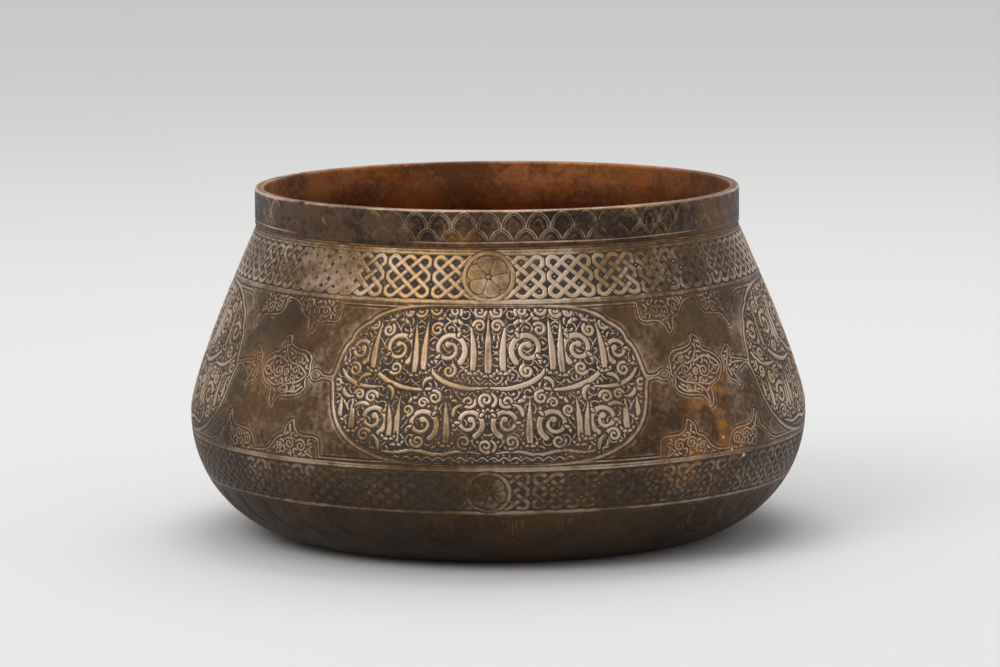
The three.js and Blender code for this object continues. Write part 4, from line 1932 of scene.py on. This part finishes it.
@dataclass
class Collar(SubAssembly):
    """The ring brazed round the mouth: an engraved outer face in quarters, and a body with the lip.

    An arch's line is its inset, width and depth, and the foot line's its width and depth. The grid is the
    rows and columns of a quarter.
    """

    rebate: tuple = (1.2, 5.2)
    chamfer: float = 0.4
    gain: float = 1.1
    arch_count: int = 64
    arch_head: float = 4.25
    arch_line: tuple = (0.85, 0.34, 0.2)
    arch_point: float = 1.3
    arch_rows: tuple = ((-13.5, 0.0), (-7.6, 0.5))
    arch_foot: float = -3.2
    foot_level: float = -2.6
    foot_line: tuple = (0.42, 0.24)
    nick_angle: float = -50.0
    rest: float = -0.05
    grid: tuple = (48, 497)
    body_columns: int = 576
    body_waver: float = 0.18
    lip_wear: tuple = (0.6, 0.4, 0.2, 0.22, 0.34)

    def __post_init__(self) -> None:
        """Reads the collar's sizes from the solids."""
        low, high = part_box("rim_collar")
        self.radius, self.foot, self.rim = high[0] / MM, low[2] / MM, high[2] / MM
        self.arches = Arches(
            self.arch_count, self.radius, self.arch_head, self.arch_foot, self.arch_rows, *self.arch_line,
            self.arch_point,
        )

    @staticmethod
    def left_of_engraving(turn: np.ndarray, level: np.ndarray) -> np.ndarray:
        """Share of the engraving that wear has left: a sum of waves round and down, between 0.2 and 1.

        Args:
            turn: Angle round the bowl.
            level: Distance below the neck, negative above it.

        Returns:
            The share.
        """
        waves = np.sin(2 * turn + 1.2) + 0.8 * np.sin(5 * turn + 1.6) + 0.5 * np.sin(13 * turn + 0.2 * level)
        waves = waves + 0.9 * np.sin(21 * turn + 0.62 * level) * np.sin(8 * turn - 0.45 * level)
        return 0.2 + 0.8 * ease(-1.2, 0.5, waves)

    def engraved(self, turn: np.ndarray, level: np.ndarray) -> np.ndarray:
        """Relief of the scale-like arches and of the broken line under them.

        Args:
            turn: Angle round the bowl.
            level: Distance below the neck, negative above it.

        Returns:
            Offsets in millimetres.
        """
        broken = ease(-0.35, 0.25, np.sin(3 * turn + 0.6) + 0.7 * np.sin(7 * turn + 2.4))
        line = groove(level - self.foot_level + 0.08 * np.sin(9 * turn), *self.foot_line)
        arches = self.arches.carve(turn, level) * self.left_of_engraving(turn, level)
        return arches + line * (0.3 + 0.7 * broken)

    def faces(self) -> None:
        """Makes the outer tiles, under a chamfered lip edge painted bright as a highlight line and as
        rubbing, with one nick and a bright fleck.
        """
        neck, back_radius = self.outline.neck_height, self.radius - SKIN
        level = np.linspace(neck - self.rim, neck - self.foot, self.grid[0])[:, None]
        edge = level - level[0]
        for side in Side:
            turn = np.linspace(-0.5, 0.5, self.grid[1])[None, :] * QUARTER + side.angle
            drawn = self.engraved(turn, level)
            beside = (np.degrees(turn) - self.nick_angle + 180) % 360 - 180
            nick = np.exp(-(beside**2) - (edge / 1.2) ** 2)
            fleck = np.exp(-(((beside - 2.1) / 0.6) ** 2) - (edge / 0.9) ** 2)
            plain = self.rest + 0.35 * undulation(turn, level) - 0.5 * nick
            plain = plain - np.maximum(self.chamfer - edge, 0)
            front = around(turn, self.radius + plain + drawn, neck - level)
            back = around(turn, back_radius, np.linspace(self.rim, self.foot, 4)[:, None])
            # painted highlight: the band along the lip edge is painted bright as a highlight line, partly
            # standing for the rubbed chamfer
            base = 0.38 + 0.52 * np.exp(-((edge / 0.42) ** 2)) - 2.2 * drawn - 0.8 * nick + 0.6 * fleck
            name = f"collar_face_{side.value + 1}"
            piece = Mesher.shell(name, front, back, False, rubbed(plain, base, self.gain))
            self.dress(piece, "rim_collar", Slot.DARK.value, self.finishes.collar)

    def body(self) -> None:
        """Makes the collar's body: its top closes the lip and its inner face goes down to the sleeve."""
        outer, inner = self.radius - SKIN - 0.02, self.radius - self.outline.lip
        step_radius, step_height = self.radius - self.rebate[0], self.foot + self.rebate[1]
        inside = np.linspace((inner, step_height), (inner, self.rim - 0.35), 9)
        foot = [[outer, self.rim], [outer, self.foot], [step_radius, self.foot], [step_radius, step_height]]
        lip = [[inner + 0.12, self.rim - 0.12], [inner + 0.4, self.rim - 0.02], [inner + 0.9, self.rim]]
        profile = np.vstack([foot, inside, lip, [outer - 0.5, self.rim]])
        worn = np.full(len(profile), PLAIN)
        worn[[-4, -3, -2, -1, 0]] = self.lip_wear
        piece = Mesher.turned("collar_body", profile, self.body_columns, self.body_waver, worn)
        self.dress(piece, "rim_collar", Slot.DARK.value, self.finishes.inside)

    def build(self) -> None:
        """Makes the collar's pieces."""
        self.faces()
        self.body()


@dataclass
class Inside(SubAssembly):
    """The wall's inner face, the bottom plate and the two brazed seams.

    A grid is rows and columns. A turned line is its width and depth. A seam is its node, the radius of its
    inner edge and how far its faces sink in.
    """

    sleeve: float = 6.27
    neck_swell: float = 1.3
    neck_reach: float = 12.0
    depth: float = 1.0
    dome_rise: float = 1.5
    dome_margin: float = 12.0
    turned_lines: tuple = (8.0, 9.6, 24.0, 40.0, 41.8, 58.0, 64.5)
    turned_line: tuple = (0.9, 0.16)
    plate_wear: tuple = (0.4, 0.23)
    wall_grid: tuple = (52, 420)
    plate_grid: tuple = (62, 192)
    seam_grid: tuple = (9, 360)
    seam_waver: float = 0.3
    seams: tuple = (("collar_braze", 89.1, 0.1), ("bottom_braze", 72.95, -0.3))

    def wall(self) -> None:
        """Makes the inner part of the wall, from the sleeve in the collar down to the flat flange."""
        outline, thickness = self.outline, self.outline.wall
        level = np.append(np.linspace(0.0, outline.stand_at, self.wall_grid[0]), outline.end_at)[:, None]
        turn = np.linspace(0, TURN, self.wall_grid[1], endpoint=False)[None, :]
        sleeve_radius = outline.mouth_radius - outline.lip + thickness
        sleeve_top = outline.neck_height + self.sleeve
        neck = self.neck_swell * (1 - ease(0.0, self.neck_reach, level))
        radius, height = outline.section(level, 0.8 * (undulation(turn, level) + 0.08) - thickness - neck)
        inner = [around(turn, sleeve_radius - thickness, sleeve_top), around(turn, radius, height)]
        outer = [around(turn, sleeve_radius, sleeve_top), outline.place(turn, level, 0 * level - self.depth)]
        piece = Mesher.shell("wall_inside", np.concatenate(outer), np.concatenate(inner), True)
        self.dress(piece, "bowl_wall", Slot.WALL.value, self.finishes.inside)

    def bottom(self) -> None:
        """Makes the bottom plate: a low dome inside a flat ring, with turned lines on both faces."""
        low, high = (np.array(corner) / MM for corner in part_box("bottom_disc"))
        radius = np.linspace(0, float(high[0]), self.plate_grid[0])
        dome = self.dome_rise * (1 - np.clip(radius / (float(high[0]) - self.dome_margin), 0, 1) ** 2) ** 2
        lines = sum(groove(radius - place, *self.turned_line) for place in self.turned_lines)
        thickness, under = float(high[2] - low[2]) - self.dome_rise, float(low[2]) + dome
        upper = np.column_stack([radius, under + thickness - 0.02 + lines])
        lower = np.column_stack([radius, under - lines])[::-1]
        worn = np.repeat(self.plate_wear, len(radius))
        piece = Mesher.turned("bottom_plate", np.vstack([upper, lower]), self.plate_grid[1], 0.0, worn)
        self.dress(piece, "bottom_disc", Slot.DARK.value, self.finishes.inside)

    def seam(self, node: str, inner: float, hollow: float) -> None:
        """Makes a brazed seam: a ring whose free faces sink in or swell and whose width wavers.

        Args:
            node: Name of its solid.
            inner: Radius of its inner edge.
            hollow: How far its faces sink in, in millimetres, or swell where it is negative.
        """
        low, high = (np.array(corner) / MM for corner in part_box(node))
        share = np.linspace(0, 1, self.seam_grid[0])
        sink = hollow * np.sin(np.pi * share)
        across = float(high[0]) + (inner - float(high[0])) * share
        lower = np.column_stack([across, float(low[2]) + sink])
        upper = np.column_stack([across, float(high[2]) - sink])[::-1]
        profile = np.vstack([lower, upper])
        piece = Mesher.turned(f"{node}_seam", profile, self.seam_grid[1], self.seam_waver)
        self.dress(piece, node, Slot.BRAZING.value, self.finishes.brazing)

    def build(self) -> None:
        """Makes the inner pieces."""
        self.wall()
        self.bottom()
        for seam in self.seams:
            self.seam(*seam)


@dataclass
class Inlays(SubAssembly):
    """The black composition that lies in the ground of the bands and cartouches."""

    carving: Carving
    level: float = -0.34
    thickness: float = 0.24
    margin: float = 0.35
    cartouche_margin: float = 1.5
    cartouche_inset: float = 1.7
    ring_grid: tuple = (14, 640)
    cartouche_grid: tuple = (40, 85)

    def face(self, turn: np.ndarray, level: np.ndarray) -> np.ndarray:
        """Offset of the composition's face: uneven, and sunk out of sight where the metal is worn down.

        Args:
            turn: Angle round the bowl.
            level: Distance down the wall.

        Returns:
            Offsets in millimetres.
        """
        uneven = 0.05 * np.sin(61 * turn + 0.9 * level) * np.sin(37 * turn - 1.3 * level + 1)
        lost = ease(0.35, 0.6, self.carving.wear.amount(turn, level))
        return self.level + uneven - 0.12 * lost + undulation(turn, level)

    def lay(self, name: str, node: str, turn: np.ndarray, level: np.ndarray, ring: bool) -> None:
        """Makes one inlay as a thin shell over a grid of angles and distances.

        Args:
            name: The piece's name.
            node: Name of its solid.
            turn: Angles of the grid's points.
            level: Distances of the grid's points down the wall.
            ring: Whether it goes all the way round.
        """
        level = level + 0 * turn
        face = self.face(turn, level)
        front = self.outline.place(turn, level, face)
        piece = Mesher.shell(name, front, self.outline.place(turn, level, face - self.thickness), ring)
        self.dress(piece, node, Slot.PASTE.value, self.finishes.paste)

    def build(self) -> None:
        """Makes the two rings and the four patches."""
        at, frieze = self.carving.levels, self.carving.frieze
        turn = np.linspace(0, TURN, self.ring_grid[1], endpoint=False)[None, :]
        bands = (("shoulder", at.plain_strip, at.shoulder_end), ("lower", at.lower_top, at.lower_end))
        for band, top, end in bands:
            level = np.linspace(top + self.margin, end - self.margin, self.ring_grid[0])[:, None]
            self.lay(f"{band}_band_paste", f"{band}_band_inlay", turn, level, True)
        top, end = at.frieze_top + self.cartouche_margin, at.frieze_end - self.cartouche_margin
        level = np.linspace(top, end, self.cartouche_grid[0])[:, None]
        share = np.linspace(-1, 1, self.cartouche_grid[1])[None, :]
        for side in Side:
            turn = side.angle + frieze.spread(level, self.cartouche_inset) * share
            self.lay(f"cartouche_{side.label}_paste", f"cartouche_inlay_{side.label}", turn, level, False)


@dataclass(frozen=True)
class Studio:
    """A pale floor, a white surround, soft lamps and the camera at the photograph's angle.

    A lamp is its name, its place in metres, its side in metres and its power in watts.
    """

    distance: float = 1911.9
    height: float = 326.9
    azimuth: float = degrees(1.9)
    pitch: float = degrees(7.56)
    roll: float = degrees(-0.36)
    focal_pixels: float = 5152.4
    axis_pixel: float = 497.8
    photo_width: int = 1000
    sensor: float = 36.0
    far_clip: float = 20.0
    aim: tuple = (0, 0, 0.06)
    lamps: tuple = (("key", (-1.1, -1.4, 1.55), 1.0, 10.0), ("top", (0.1, 0.5, 1.5), 1.1, 8.0))
    sun_strength: float = 0.75
    sun_angle: float = degrees(60)
    sun_turn: tuple = (degrees(34), 0.0, degrees(-32))
    soft: tuple = (0.46, 0.46, 0.465, 1.0)
    white: tuple = (1.0, 1.0, 1.0, 1.0)
    floor_half: float = 3.0
    floor_colour: tuple = (0.78, 0.78, 0.77, 1.0)
    floor_roughness: float = 0.85

    def camera(self) -> None:
        """Places the camera and shifts it so that the bowl's axis falls where the photograph has it."""
        data = bpy.data.cameras.new("camera")
        data.sensor_width = self.sensor
        data.lens = self.sensor * self.focal_pixels / self.photo_width
        data.shift_x = 0.5 - self.axis_pixel / self.photo_width
        data.clip_end = self.far_clip
        camera = bpy.data.objects.new("camera", data)
        far = self.distance * MM
        place = Vector((far * np.sin(self.azimuth), -far * np.cos(self.azimuth), self.height * MM))
        turn = Matrix.Rotation(self.azimuth, 4, "Z") @ Matrix.Rotation(float(np.pi / 2) - self.pitch, 4, "X")
        camera.matrix_world = Matrix.Translation(place) @ turn @ Matrix.Rotation(self.roll, 4, "Z")
        bpy.context.scene.collection.objects.link(camera)
        bpy.context.scene.camera = camera

    def light(self, name: str, kind: str, power: float) -> bpy.types.Object:
        """Adds a lamp of a kind.

        Args:
            name: The lamp's name.
            kind: Its type.
            power: Its power.

        Returns:
            The lamp.
        """
        data = bpy.data.lights.new(name, kind)
        data.energy = power
        lamp = bpy.data.objects.new(name, data)
        bpy.context.scene.collection.objects.link(lamp)
        return lamp

    def lights(self) -> None:
        """Adds a very soft sun, which lights the floor evenly, and square lamps that face the bowl."""
        sun = self.light("even", "SUN", self.sun_strength)
        sun.data.angle = self.sun_angle
        sun.rotation_euler = self.sun_turn
        for name, place, size, power in self.lamps:
            lamp = self.light(name, "AREA", power)
            lamp.data.size = size
            lamp.location = place
            lamp.rotation_euler = (Vector(self.aim) - Vector(place)).to_track_quat("-Z", "Y").to_euler()

    def surround(self) -> None:
        """Makes the world white to the camera and to reflections, and a soft grey light otherwise."""
        world = bpy.data.worlds.new("surround")
        world.use_nodes = True
        tree = world.node_tree
        tree.nodes.clear()
        path = tree.nodes.new("ShaderNodeLightPath")
        seen = path.outputs["Is Camera Ray"]
        for name in ("Is Glossy Ray", "Is Transmission Ray"):
            either = tree.nodes.new("ShaderNodeMath")
            either.operation = "MAXIMUM"
            tree.links.new(seen, either.inputs[0])
            tree.links.new(path.outputs[name], either.inputs[1])
            seen = either.outputs[0]
        blend, output = tree.nodes.new("ShaderNodeMixShader"), tree.nodes.new("ShaderNodeOutputWorld")
        tree.links.new(seen, blend.inputs[0])
        for socket, shade in ((1, self.soft), (2, self.white)):
            background = tree.nodes.new("ShaderNodeBackground")
            background.inputs["Color"].default_value = shade
            tree.links.new(background.outputs[0], blend.inputs[socket])
        tree.links.new(blend.outputs[0], output.inputs["Surface"])
        bpy.context.scene.world = world

    def floor(self) -> None:
        """Lays a plain pale floor and marks it as the stage."""
        half = self.floor_half
        mesh = bpy.data.meshes.new("floor")
        points = [(x, y, 0) for x, y in ((-half, -half), (half, -half), (half, half), (-half, half))]
        mesh.from_pydata(points, [], [(0, 1, 2, 3)])
        nodes = Nodes("pale_floor")
        nodes.set("Base Color", self.floor_colour)
        nodes.set("Roughness", self.floor_roughness)
        mesh.materials.append(nodes.material)
        floor = bpy.data.objects.new("floor", mesh)
        bpy.context.scene.collection.objects.link(floor)
        floor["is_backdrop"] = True

    def build(self) -> None:
        """Sets up the studio and the plain view transform."""
        bpy.context.scene.view_settings.view_transform = "Standard"
        self.camera()
        self.surround()
        self.floor()
        self.lights()


def corners() -> list:
    """The whole object's box as plain lists."""
    return [[float(value) for value in corner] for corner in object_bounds()]


def main() -> None:
    """Builds the studio and the bowl."""
    logging.basicConfig(level=logging.INFO, format="%(name)s: %(message)s")
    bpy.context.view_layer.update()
    Studio().build()
    outline, finishes = Outline.of_frame(), Finishes()
    carving = Carving(outline, finishes, Levels(outline))
    parts = (
        carving, Collar(outline, finishes), Inside(outline, finishes), Inlays(outline, finishes, carving),
    )
    for part in parts:
        part.build()


if __name__ == "__main__":
    main()
